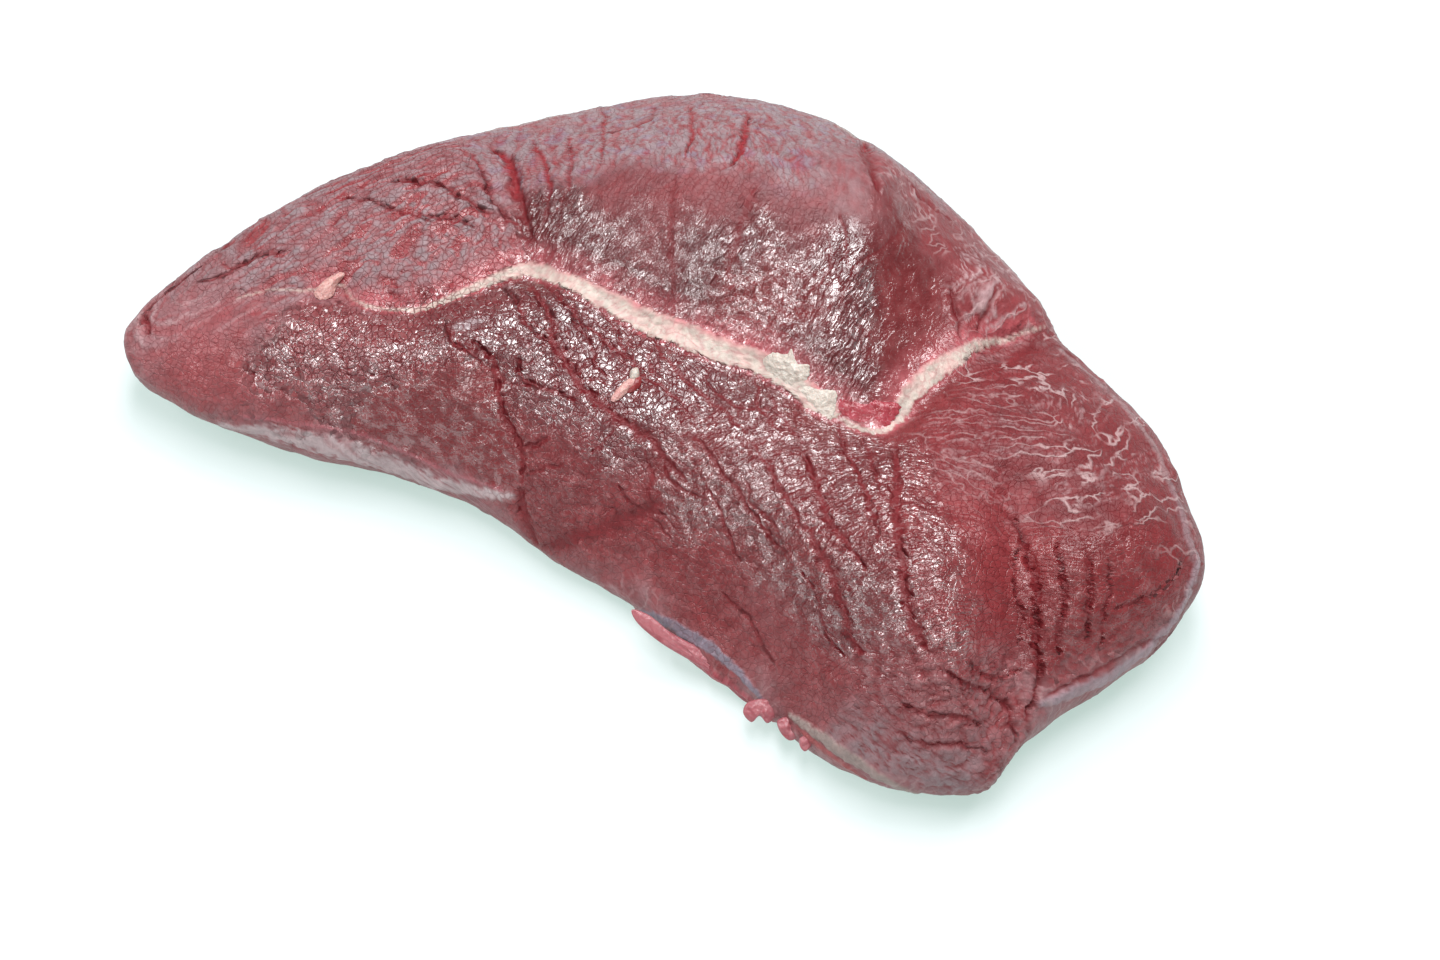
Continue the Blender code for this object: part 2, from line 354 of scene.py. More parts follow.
def get(mesh, what):
    data = getattr(mesh, what)
    field = {"vertices": "co", "vertex_normals": "vector"}[what]
    out = np.empty(len(data) * 3, np.float32)
    data.foreach_get(field, out)
    return out.reshape(-1, 3).astype(float)


def put(mesh, places):
    mesh.vertices.foreach_set("co", (places * MM).astype(np.float32).ravel())
    mesh.update()


print("form")
meat_mesh = cube_mesh()
cube = get(meat_mesh, "vertices")
ball = np.tan(cube * pi / 4)
ball /= np.linalg.norm(ball, axis=1, keepdims=True)
GRID, RIM_CURVE = meridians()
base, TURNS, COLAT = wrap(ball, GRID)
low, high = RIM_CURVE[:, :2].min(0), RIM_CURVE[:, :2].max(0)
SHIFT = np.array([(low[0] + high[0]) / 2, (low[1] + high[1]) / 2, 0.0])
base -= SHIFT
put(meat_mesh, base)
normal = get(meat_mesh, "vertex_normals")
COUNT = len(base)
frame_uv = seen_at(base)
look = EYE - base
facing = (normal * look).sum(1) / np.linalg.norm(look, axis=1)

shown = np.nonzero(facing > 0.05)[0]
finder = KDTree(len(shown))
for k, (u, v) in zip(shown, frame_uv[shown]):
    finder.insert((u, v, 0.0), int(k))
finder.balance()
solid_finder = KDTree(COUNT)
for k, p in enumerate(base):
    solid_finder.insert(p, k)
solid_finder.balance()


def at(u, v):
    """The vertex that shows at (u, v)"""
    return finder.find((u, v, 0.0))[1]


def spline(points, step):
    """A smooth run through the points, a place every step"""
    p = np.array(points, float)
    if len(p) < 3:
        n = max(2, int(np.linalg.norm(p[1] - p[0]) / step) + 1)
        t = np.linspace(0, 1, n)[:, None]
        return p[0] * (1 - t) + p[1] * t
    ext = np.vstack([2 * p[0] - p[1], p, 2 * p[-1] - p[-2]])
    out = []
    for k in range(1, len(ext) - 2):
        n = max(2, int(np.linalg.norm(ext[k + 1] - ext[k]) / step) + 1)
        t = np.linspace(0, 1, n, endpoint=False)[:, None]
        a, b, c, d = ext[k - 1:k + 3]
        out.append(0.5 * (2 * b + (c - a) * t + (2 * a - 5 * b + 4 * c - d) * t**2
                          + (3 * b - a - 3 * c + d) * t**3))
    return np.vstack(out + [p[-1:]])


def on_skin(points, step=8.0, wobble=0.0, seed=5):
    """A run of (u, v) places, as places on the skin in mm"""
    run = spline(points, step)
    if wobble:
        q = np.c_[run / 14.0, np.full(len(run), seed * 3.7)]
        run = run + wobble * np.stack([noise(q, seed), noise(q + 40.0, seed)], 1)
    return np.array([base[at(u, v)] for u, v in run])


def close_by(path, reach):
    """Vertices within reach of a path on the skin: index, distance, share passed"""
    lo, hi = path.min(0) - reach, path.max(0) + reach
    box = np.nonzero(((base > lo) & (base < hi)).all(1))[0]
    if not len(box):
        return box, np.zeros(0), np.zeros(0)
    d, along = beside(base[box], path)
    keep = d < reach
    return box[keep], d[keep], along[keep]


def taper(along, ends=0.18):
    return smooth(0, ends, along) * smooth(0, ends, 1 - along)


print("grain")
# Kinds of surface. size is the width in mm of the lumps, long how many times longer
# they are along the grain, bump their height in mm. creased: creases between round
# lumps, darkened in the colour by painted shade. ridged: thin raised pale threads. cracks, ribs and
# streaks set the three fine patterns of the material. The film share is grey skin whose grey is partly a painted sheen
# of reflected light, gloss how wet it is.
KINDS = {
    "leaf":    dict(size=2.6, long=2.6, bump=0.75, creased=0.45, ridged=0.15, cracks=0.5, ribs=0.0, streaks=0.2, film_and_sheen=1.0, gloss=0.5, dark=-0.04, pits=1.0),
    "tip":     dict(size=2.6, long=4.0, bump=0.6, creased=0.20, ridged=0.80, cracks=0.3, ribs=0.0, streaks=0.5, film_and_sheen=0.5, gloss=0.35, dark=-0.03, pits=0.3),
    "smooth":  dict(size=5.0, long=3.0, bump=0.45, creased=0.00, ridged=0.15, cracks=0.35, ribs=0.0, streaks=0.2, film_and_sheen=0.15, gloss=0.40, dark=-0.1, pits=0.0),
    "sparkle": dict(size=3.4, long=1.6, bump=0.22, creased=0.15, ridged=0.00, cracks=1.0, ribs=0.0, streaks=0.2, film_and_sheen=0.26, gloss=0.95, dark=0.05, pits=0.0),
    "grain":   dict(size=2.8, long=1.8, bump=0.5, creased=0.20, ridged=0.10, cracks=0.35, ribs=0.0, streaks=0.0, film_and_sheen=0.02, gloss=0.6, dark=0.2, pits=0.0),
    "crackle": dict(size=4.0, long=1.6, bump=0.2, creased=0.35, ridged=0.00, cracks=1.00, ribs=0.1, streaks=0.0, film_and_sheen=0.16, gloss=1.0, dark=0.54, pits=0.0),
    "rib":     dict(size=4.5, long=1.6, bump=0.28, creased=0.30, ridged=0.00, cracks=0.42, ribs=0.9, streaks=0.0, film_and_sheen=0.04, gloss=0.9, dark=0.36, pits=0.0),
    "mesa":    dict(size=3.2, long=0.6, bump=0.34, creased=0.60, ridged=0.00, cracks=0.5, ribs=0.8, streaks=0.0, film_and_sheen=0.1, gloss=1.00, dark=0.04, pits=0.0),
    "soft":    dict(size=4.5, long=2.4, bump=0.55, creased=0.30, ridged=0.20, cracks=0.5, ribs=0.0, streaks=0.15, film_and_sheen=0.06, gloss=0.45, dark=0.24, pits=0.0),
    "plain":   dict(size=6.0, long=2.4, bump=0.55, creased=0.20, ridged=0.20, cracks=0.5, ribs=0.0, streaks=0.15, film_and_sheen=0.03, gloss=0.42, dark=0.22, pits=0.0),
    "wave":    dict(size=3.0, long=4.0, bump=0.6, creased=0.40, ridged=0.00, cracks=0.45, ribs=0.0, streaks=0.15, film_and_sheen=0.04, gloss=0.40, dark=0.04, pits=0.0),
    "chunky":  dict(size=4.2, long=1.5, bump=1.1, creased=1.00, ridged=0.15, cracks=0.4, ribs=0.1, streaks=0.1, film_and_sheen=0.3, gloss=0.55, dark=0.06, pits=0.0),
    "ash":     dict(size=3.8, long=2.2, bump=0.85, creased=0.90, ridged=0.10, cracks=0.10, ribs=0.2, streaks=0.1, film_and_sheen=1.0, gloss=0.40, dark=0.10, pits=0.3),
    "block":   dict(size=4.6, long=2.6, bump=0.65, creased=0.60, ridged=0.00, cracks=0.3, ribs=0.0, streaks=0.25, film_and_sheen=0.00, gloss=0.45, dark=0.22, pits=0.0),
    "ripple":  dict(size=1.5, long=3.0, bump=0.45, creased=0.00, ridged=0.5, cracks=0.35, ribs=0.0, streaks=0.35, film_and_sheen=0.04, gloss=0.15, dark=0.28, pits=0.0),
    "net":     dict(size=2.2, long=2.2, bump=0.5, creased=0.00, ridged=0.6, cracks=0.35, ribs=0.0, streaks=0.2, film_and_sheen=0.02, gloss=0.15, dark=0.28, pits=0.0),
    "streak":  dict(size=1.9, long=3.4, bump=0.6, creased=0.20, ridged=0.00, cracks=0.10, ribs=0.0, streaks=0.9, film_and_sheen=0.05, gloss=0.95, dark=0.58, pits=0.0),
    "matte":   dict(size=2.4, long=4.0, bump=0.4, creased=0.15, ridged=0.10, cracks=0.3, ribs=0.0, streaks=0.35, film_and_sheen=0.24, gloss=0.15, dark=0.28, pits=0.0),
    "blister": dict(size=2.4, long=1.8, bump=0.75, creased=0.80, ridged=0.00, cracks=0.35, ribs=0.0, streaks=0.5, film_and_sheen=0.03, gloss=1.00, dark=0.24, pits=0.0),
    "film_and_sheen":    dict(size=2.4, long=5.0, bump=0.35, creased=0.45, ridged=0.20, cracks=0.3, ribs=0.0, streaks=0.2, film_and_sheen=1.05, gloss=0.22, dark=0.00, pits=0.6),
    "veil":    dict(size=3.0, long=5.0, bump=0.20, creased=0.10, ridged=0.20, cracks=0.00, ribs=0.0, streaks=0.3, film_and_sheen=0.50, gloss=0.22, dark=0.10, pits=0.0),
    "sheer":   dict(size=8.0, long=1.8, bump=0.35, creased=0.05, ridged=0.00, cracks=0.00, ribs=0.0, streaks=0.25, film_and_sheen=0.00, gloss=0.55, dark=0.3, pits=0.0),
    "strand":  dict(size=1.8, long=7.0, bump=0.50, creased=0.00, ridged=1.10, cracks=0.00, ribs=0.0, streaks=0.5, film_and_sheen=0.14, gloss=0.25, dark=0.12, pits=0.0),
    "skin":    dict(size=2.4, long=6.0, bump=0.30, creased=0.00, ridged=0.60, cracks=0.00, ribs=0.0, streaks=0.4, film_and_sheen=0.6, gloss=0.30, dark=-0.08, pits=0.2),
    "under":   dict(size=5.0, long=2.0, bump=0.25, creased=0.20, ridged=0.20, cracks=0.10, ribs=0.0, streaks=0.4, film_and_sheen=0.30, gloss=0.40, dark=0.00, pits=0.3),
}
# Where each kind is: kind, u, v, and the way its grain runs (du, dv)
PLACES = [
    ("leaf", 185, 272, 30, -22), ("leaf", 230, 248, 32, -14), ("leaf", 290, 222, 34, -2),
    ("leaf", 340, 205, 34, 6), ("leaf", 400, 185, 34, 12), ("leaf", 450, 170, 34, 16),
    ("leaf", 400, 228, 34, 14), ("leaf", 455, 235, 34, 22), ("leaf", 345, 245, 34, 10),
    ("leaf", 285, 262, 34, 2), ("leaf", 400, 268, 34, 12), ("leaf", 470, 252, 30, 16),
    ("tip", 160, 300, 20, -18), ("tip", 146, 345, 8, 26), ("tip", 205, 308, 30, -8), ("tip", 250, 316, 34, 2),
    ("smooth", 185, 375, 26, 18), ("smooth", 230, 392, 34, 10), ("smooth", 290, 405, 36, 8), ("smooth", 215, 350, 30, 8),
    ("skin", 262, 430, 40, 2), ("skin", 330, 440, 40, 10), ("skin", 400, 464, 40, 18), ("skin", 455, 484, 40, 16),
    ("sparkle", 268, 356, 34, 6), ("sparkle", 310, 378, 34, 10), ("sparkle", 310, 345, 34, 8), ("sparkle", 360, 345, 34, 10),
    ("sparkle", 345, 375, 30, 16), ("sparkle", 398, 345, 30, 14),
    ("grain", 375, 405, 12, 26), ("grain", 420, 400, 6, 28), ("grain", 440, 430, 4, 28), ("grain", 470, 400, 4, 28),
    ("grain", 480, 455, 4, 28), ("grain", 405, 435, 10, 26),
    ("crackle", 430, 332, 26, 14), ("crackle", 470, 318, 24, 18), ("crackle", 515, 325, 20, 26),
    ("crackle", 540, 385, 20, 26), ("crackle", 590, 350, 22, 24), ("crackle", 600, 395, 22, 22),
    ("crackle", 560, 320, 22, 24), ("crackle", 650, 350, 22, 24), ("crackle", 655, 405, 22, 24), ("crackle", 700, 380, 22, 24),
    ("crackle", 740, 400, 20, 26), ("crackle", 620, 440, 24, 22),
    ("rib", 700, 430, 20, 26), ("rib", 720, 470, 20, 26), ("rib", 770, 440, 18, 28), ("rib", 770, 490, 18, 28),
    ("rib", 812, 440, 16, 30), ("rib", 820, 480, 14, 30), ("rib", 760, 540, 18, 28), ("rib", 800, 560, 18, 28),
    ("rib", 850, 510, 14, 30), ("rib", 868, 460, 10, 32), ("rib", 830, 610, 16, 28), ("rib", 870, 570, 12, 30),
    ("rib", 880, 620, 12, 28), ("rib", 690, 500, 22, 24),
    ("mesa", 908, 480, 6, 34), ("mesa", 922, 525, 10, 32), ("mesa", 936, 570, 12, 32), ("mesa", 952, 612, 10, 30),
    ("soft", 548, 440, 24, -16), ("soft", 590, 470, 30, -14), ("soft", 560, 490, 30, -6), ("soft", 640, 475, 28, -6),
    ("soft", 610, 505, 30, -10), ("soft", 560, 525, 30, -8),
    ("plain", 620, 560, 30, 16), ("plain", 680, 560, 26, 20), ("plain", 700, 620, 26, 22), ("plain", 740, 650, 26, 22),
    ("plain", 720, 580, 24, 24), ("plain", 650, 535, 28, 10), ("plain", 790, 650, 24, 24), ("plain", 840, 690, 26, 18),
    ("plain", 790, 700, 26, 18), ("skin", 700, 655, 30, 26), ("ash", 852, 735, 28, 18),
    ("wave", 975, 520, 6, 34), ("wave", 985, 560, 6, 34), ("wave", 1005, 600, 4, 34), ("wave", 985, 635, 8, 26),
    ("chunky", 880, 665, 24, 14), ("chunky", 930, 690, 28, 10), ("chunky", 990, 675, 16, 24), ("chunky", 900, 715, 30, 12),
    ("chunky", 965, 720, 24, 14), ("chunky", 1005, 725, 10, 26), ("ash", 915, 750, 30, 12), ("ash", 960, 765, 30, 2),
    ("ash", 885, 735, 28, 14), ("chunky", 1000, 765, 10, 20),
    ("ripple", 945, 420, 30, -12), ("ripple", 985, 465, 30, -12), ("ripple", 1015, 425, 30, -10), ("ripple", 955, 470, 26, -10),
    ("ripple", 1010, 500, 24, -18),
    ("net", 1010, 370, 32, -4), ("net", 1060, 395, 30, 20), ("net", 1055, 450, 18, -28), ("net", 1110, 440, 20, 30),
    ("net", 1090, 495, 20, -24), ("net", 1150, 500, 14, 32), ("net", 1180, 560, 6, 34), ("net", 1040, 345, 32, 20),
    ("net", 1100, 400, 28, 24), ("net", 1190, 600, -8, 30),
    ("block", 1045, 560, 2, 34), ("block", 1080, 590, 0, 34), ("block", 1125, 560, 10, 30), ("block", 1140, 600, -6, 30),
    ("block", 1060, 640, -4, 30), ("block", 1100, 635, -8, 28), ("block", 1150, 560, 8, 30), ("block", 1040, 605, 0, 34),
    ("skin", 1060, 694, 34, -18), ("skin", 1110, 668, 34, -20), ("skin", 1158, 640, 24, -26),
    ("streak", 560, 215, -16, 28), ("streak", 575, 250, -16, 26), ("streak", 620, 225, -18, 28), ("streak", 665, 236, -10, 32),
    ("streak", 650, 280, -16, 26), ("streak", 705, 242, -10, 32), ("streak", 620, 275, -16, 26), ("streak", 765, 232, -10, 32), ("matte", 620, 195, -8, 32), ("matte", 665, 205, -8, 32), ("matte", 715, 208, -8, 32), ("matte", 770, 200, -8, 32), ("streak", 735, 250, -12, 30), ("matte", 810, 215, -6, 32), ("matte", 665, 255, -10, 30),
    ("streak", 690, 290, -16, 28), ("streak", 545, 245, -10, 28),
    ("blister", 740, 280, -20, 26), ("blister", 780, 275, -18, 28), ("blister", 760, 310, -14, 28), ("blister", 795, 305, -16, 28),
    ("streak", 830, 240, -6, 34), ("streak", 845, 290, -12, 30), ("streak", 825, 340, -14, 30), ("streak", 855, 370, -8, 30),
    ("streak", 800, 345, -10, 28),
    ("film_and_sheen", 550, 150, -4, 30), ("film_and_sheen", 600, 150, -4, 30), ("film_and_sheen", 650, 138, -4, 30), ("film_and_sheen", 700, 140, -4, 30),
    ("film_and_sheen", 750, 140, -6, 30), ("film_and_sheen", 790, 160, -8, 28), ("film_and_sheen", 500, 155, 16, 26), ("film_and_sheen", 620, 112, 30, -4),
    ("film_and_sheen", 720, 106, 30, 0), ("film_and_sheen", 800, 128, 30, 10), ("leaf", 430, 150, 30, -6),
    ("veil", 845, 165, -2, 34), ("veil", 855, 200, -2, 34),
    ("sheer", 890, 220, 8, 32), ("sheer", 900, 280, 6, 32), ("sheer", 900, 340, 2, 32), ("sheer", 930, 300, 10, 30),
    ("sheer", 915, 375, 14, -26), ("sheer", 880, 390, 6, 20),
    ("strand", 918, 200, 18, 30), ("strand", 950, 245, 18, 30), ("strand", 962, 300, 6, 34), ("strand", 985, 262, 22, 28),
    ("strand", 1012, 290, 22, 28), ("strand", 992, 320, -10, 30),
]
# The sides that the camera doesn't see: kind, place in mm, way of the grain
HIDDEN = [
    ("leaf", (-168, -10, 34), (12, 30, 6)), ("leaf", (-140, 26, 40), (20, 26, 6)), ("film_and_sheen", (-110, 60, 36), (24, 22, 4)),
    ("film_and_sheen", (-75, 92, 36), (26, 16, 4)), ("leaf", (-40, 110, 46), (30, 6, 6)), ("film_and_sheen", (0, 114, 50), (30, 2, 0)),
    ("film_and_sheen", (40, 104, 50), (30, -8, 0)), ("strand", (75, 90, 42), (26, -16, 4)), ("strand", (108, 70, 36), (20, -20, 4)),
    ("net", (140, 50, 40), (22, -18, 6)), ("net", (172, 22, 36), (10, -26, 4)), ("block", (178, -10, 30), (2, -28, 4)),
    ("film_and_sheen", (-130, 50, 22), (24, 24, 0)), ("skin", (-60, 104, 18), (28, 14, 0)), ("skin", (10, 117, 18), (30, 0, 0)),
    ("skin", (80, 92, 18), (26, -16, 0)), ("skin", (140, 50, 18), (22, -18, 0)), ("skin", (-160, 10, 18), (16, 28, 0)),
    ("skin", (179, 0, 14), (0, -30, 0)), ("under", (-120, -10, 0), (30, 0, 0)), ("under", (-60, 20, 0), (30, 10, 0)),
    ("under", (0, 60, 0), (30, 0, 0)), ("under", (0, -20, 0), (30, -8, 0)), ("under", (60, 20, 0), (30, 0, 0)),
    ("under", (80, -50, 0), (30, -10, 0)), ("under", (130, 0, 0), (20, 20, 0)), ("under", (-40, 70, 0), (30, 0, 0)),
    ("skin", (-130, -62, 10), (30, -4, 0)), ("skin", (-60, -56, 8), (30, 4, 0)), ("skin", (20, -76, 6), (30, -14, 0)),
    ("skin", (70, -94, 6), (30, -16, 0)), ("skin", (110, -104, 8), (30, -6, 0)), ("skin", (150, -80, 10), (10, 28, 0)),
    ("skin", (170, -40, 10), (16, 28, 0)),
]

centres, grains, kinds, reach = [], [], [], []
for kind, u, v, du, dv in PLACES:
    a, b = base[at(u - du * 0.25, v - dv * 0.25)], base[at(u + du * 0.25, v + dv * 0.25)]
    centres.append(base[at(u, v)])
    grains.append(b - a if np.linalg.norm(b - a) > 0.5 else np.array([1.0, 0, 0]))
    kinds.append(kind)
    reach.append(8.5 if kind != "skin" else 5.5)
for kind, place, way in HIDDEN:
    centres.append(base[solid_finder.find(place)[1]])
    grains.append(np.array(way, float))
    kinds.append(kind)
    reach.append(14.0 if kind != "under" else 26.0)
centres, grains, reach = np.array(centres), np.array(grains), np.array(reach)
grains /= np.linalg.norm(grains, axis=1, keepdims=True)


def comb():
    """Turn the grains so that neighbours point the same way"""
    done, left = [0], set(range(1, len(centres)))
    gap = ((centres[:, None] - centres[None]) ** 2).sum(2)
    while left:
        rest = np.array(sorted(left))
        table = gap[np.ix_(rest, done)]
        i, j = np.unravel_index(table.argmin(), table.shape)
        k, from_ = int(rest[i]), done[j]
        if grains[k] @ grains[from_] < 0:
            grains[k] *= -1
        done.append(k)
        left.discard(k)


comb()


def grain_lines():
    """Two lengths in mm for each vertex: along the grain, and across it. They are
    solved on a coarser net over the top and the sides, so that they run smoothly."""
    n = SQUARES * 2
    step = 2 ** LEVEL // 2
    whole = SQUARES * 2 ** LEVEL
    place = np.rint((cube + 1) * whole / 2).astype(np.int64)
    coarse = np.nonzero((place % step == 0).all(1))[0]
    codes = (place[coarse] // step) @ np.array([(n + 1) ** 2, n + 1, 1])
    order = np.argsort(codes)
    codes, coarse = codes[order], coarse[order]

    def find(ijk):
        return np.searchsorted(codes, ijk @ np.array([(n + 1) ** 2, n + 1, 1]))
    p, up = base[coarse], normal[coarse]
    wide = -(((p[:, None] - centres[None]) ** 2).sum(2)) / (2 * 11.0 ** 2)
    wide = np.exp(wide - wide.max(1, keepdims=True))
    along = wide @ grains
    along -= up * (along * up).sum(1, keepdims=True)
    along /= np.linalg.norm(along, axis=1, keepdims=True) + 1e-9
    across = np.cross(up, along)
    edges = []
    ij = np.stack(np.meshgrid(np.arange(n + 1), np.arange(n + 1), indexing='ij'), 2).reshape(-1, 2)
    for axis in range(3):
        other = [k for k in range(3) if k != axis]
        for side in (0, n):
            for move in ((1, 0), (0, 1)):
                a = ij[(ij[:, 0] + move[0] <= n) & (ij[:, 1] + move[1] <= n)]
                first, second = np.zeros((len(a), 3), np.int64), np.zeros((len(a), 3), np.int64)
                first[:, axis] = second[:, axis] = side
                first[:, other], second[:, other] = a, a + np.array(move)
                edges.append(np.stack([find(first), find(second)], 1))
    edges = np.concatenate(edges)
    open_ = COLAT[coarse] < EQUATOR + 0.14
    edges = edges[open_[edges].all(1)]
    i, j = edges.T
    m = len(p)
    degree = np.bincount(i, minlength=m) + np.bincount(j, minlength=m) + 1e-6

    def solve(way):
        want = (((way[i] + way[j]) / 2) * (p[j] - p[i])).sum(1)
        rhs = np.bincount(j, want, m) - np.bincount(i, want, m)
        x = np.zeros(m)
        r = rhs.copy()
        z = r / degree
        d, rz = z.copy(), r @ z
        for _ in range(900):
            step_ = d[i] - d[j]
            ad = np.bincount(i, step_, m) - np.bincount(j, step_, m) + 1e-6 * d
            a = rz / (d @ ad)
            x += a * d
            r -= a * ad
            z = r / degree
            new = r @ z
            if new < 1e-8:
                break
            d, rz = z + (new / rz) * d, new
        return x
    both = np.stack([solve(along), solve(across)], 1)
    both -= both[open_].mean(0)
    # onto every vertex, along its own face of the cube
    axis = np.abs(cube).argmax(1)
    out = np.zeros((COUNT, 2))
    for a in range(3):
        other = [k for k in range(3) if k != a]
        k = np.nonzero(axis == a)[0]
        side = np.where(cube[k, a] > 0, n, 0)
        f = (cube[k][:, other] + 1) * n / 2
        lo = np.minimum(np.floor(f).astype(np.int64), n - 1)
        f = f - lo
        for du in (0, 1):
            for dv in (0, 1):
                ijk = np.zeros((len(k), 3), np.int64)
                ijk[:, a], ijk[:, other[0]], ijk[:, other[1]] = side, lo[:, 0] + du, lo[:, 1] + dv
                w = (f[:, 0] if du else 1 - f[:, 0]) * (f[:, 1] if dv else 1 - f[:, 1])
                out[k] += both[find(ijk)] * w[:, None]
    below = smooth(EQUATOR + 0.06, EQUATOR + 0.12, COLAT)[:, None]
    return out * (1 - below) + base[:, :2] * below


grain = grain_lines()

# Each vertex takes its surface from the nearest centres, with ragged borders
print("surface")
drift = np.stack([noise(base / 16.0, s) * 4.0 + noise(base / 4.5, s + 3) * 2.2 + noise(base / 1.8, s + 6) * 1.0 for s in (11, 12, 13)], 1)
pull = np.empty((COUNT, len(centres)), np.float32)
for n, c in enumerate(centres):
    pull[:, n] = -(((base + drift - c) ** 2).sum(1)) / (2 * (reach[n] * 0.78) ** 2)
pull -= pull.max(1, keepdims=True)
pull = np.exp(np.maximum(pull, -30))
pull[pull < 0.03] = 0
pull /= pull.sum(1, keepdims=True)
by_kind = {}
for n, kind in enumerate(kinds):
    by_kind[kind] = by_kind.get(kind, 0) + pull[:, n].astype(float)

KEYS = ("bump", "creased", "ridged", "cracks", "ribs", "streaks", "film_and_sheen", "gloss", "dark", "pits")
field = {key: sum(by_kind[kind] * KINDS[kind][key] for kind in by_kind) for key in KEYS}
lumps = np.zeros(COUNT)          # height of the lumps in mm
groove = np.zeros(COUNT)         # 0 to 1, in a crease between lumps
thread = np.zeros(COUNT)         # 0 to 1, on a raised pale thread
crest = np.zeros(COUNT)          # 0 to 1, on top of a lump
pit = np.zeros(COUNT)            # 0 to 1, where the film is open over red meat
sway = np.stack([rough_noise(base / 9.0, 2, s) for s in (21, 22)], 1) * 1.5
EVEN = ("sparkle", "grain", "crackle", "soft", "plain", "rib", "mesa", "chunky", "ash", "smooth", "block", "under")
UPRIGHT = ("film_and_sheen", "veil")
LEANING = ("streak", "blister", "matte")
LEAN = radians(58)
leant = np.stack([base @ (cos(LEAN) * RIGHT + sin(LEAN) * UPWARD), base @ (sin(LEAN) * RIGHT - cos(LEAN) * UPWARD)], 1)
run_up = np.stack([base @ RIGHT, base @ np.cross((0, 0, 1.0), RIGHT), base[:, 2]], 1)
for n, (kind, w) in enumerate(by_kind.items()):
    k = np.nonzero(w > 0)[0]
    if not len(k):
        continue
    w, spec = w[k], KINDS[kind]
    if kind in UPRIGHT:
        q = (run_up[k] + np.c_[sway[k], sway[k, :1]]) / np.array([spec["size"], spec["size"] * spec["long"], spec["size"] * spec["long"]])
    elif kind in LEANING:
        q = np.c_[(leant[k] + 0.8 * sway[k]) / np.array([spec["size"] * spec["long"], spec["size"]]), np.full(len(k), n * 3.7)]
    elif kind in EVEN:
        q = (base[k] + np.c_[sway[k], sway[k, :1]]) / spec["size"] + n * 3.7
    else:
        q = np.c_[(grain[k] + sway[k]) / np.array([spec["size"] * spec["long"], spec["size"]]), np.full(len(k), n * 3.7)]
    a = noise(q, 41) + 0.4 * noise(q * 2.1 + 9, 42)
    b = noise(q * 1.35 + 31, 43) + 0.4 * noise(q * 2.7 + 9, 44)
    hump, thin = np.abs(a), np.abs(b)
    crease_here = np.exp(-(hump / 0.10) ** 2)
    thread_here = np.exp(-(thin / 0.11) ** 2) * smooth(-0.5, 0.2, noise(q * 0.6 + 5, 45))
    wave = 0.5 * a
    c, r = spec["creased"], spec["ridged"]
    lumps[k] += w * spec["bump"] * (c * (1.5 * hump / (hump + 0.4) - 0.6) + 0.6 * r * thread_here + (1 - 0.5 * min(1, c + r)) * wave)
    groove[k] += w * c * crease_here
    if spec["pits"]:
        if kind in UPRIGHT:
            hole = noise((run_up[k] + 1.5 * np.c_[sway[k], sway[k, :1]]) / np.array([2.4, 11.0, 11.0]), 46)
            small = noise(run_up[k] / np.array([1.3, 3.6, 3.6]), 47)
        else:
            hole = noise(np.c_[(grain[k] + sway[k] * 1.6) / np.array([7.5, 2.2]), np.full(len(k), 5.5)], 46)
            small = noise(np.c_[(grain[k] + sway[k]) / np.array([3.2, 1.2]), np.full(len(k), 7.5)], 47)
        open_here = np.maximum(smooth(0.30, 0.42, hole + 0.15 * small), 0.7 * smooth(0.42, 0.55, small))
        pit[k] += w * spec["pits"] * open_here
        lumps[k] -= w * spec["pits"] * 0.35 * open_here
    thread[k] += w * np.minimum(r, 1.3) * thread_here
    crest[k] += w * smooth(0.05, 0.55, hump)

# Cracks between plates of the near muscle
plates = (base + 0.8 * np.c_[sway, sway[:, :1]]) / 5.2
plate_edge, plate_name = cells(plates, 61)
plated = np.clip(field["cracks"] + 0.8 * field["ribs"], 0, 1)
plate_line = np.exp(-(plate_edge / 0.075) ** 2) * smooth(0.25, 0.7, plated) * smooth(-0.5, 0.2, noise(base / 9.0, 63))
swell = 0.9 * rough_noise(base / 42.0, 2, 81) + 0.45 * rough_noise(base / 12.0, 2, 82)

print("marks")
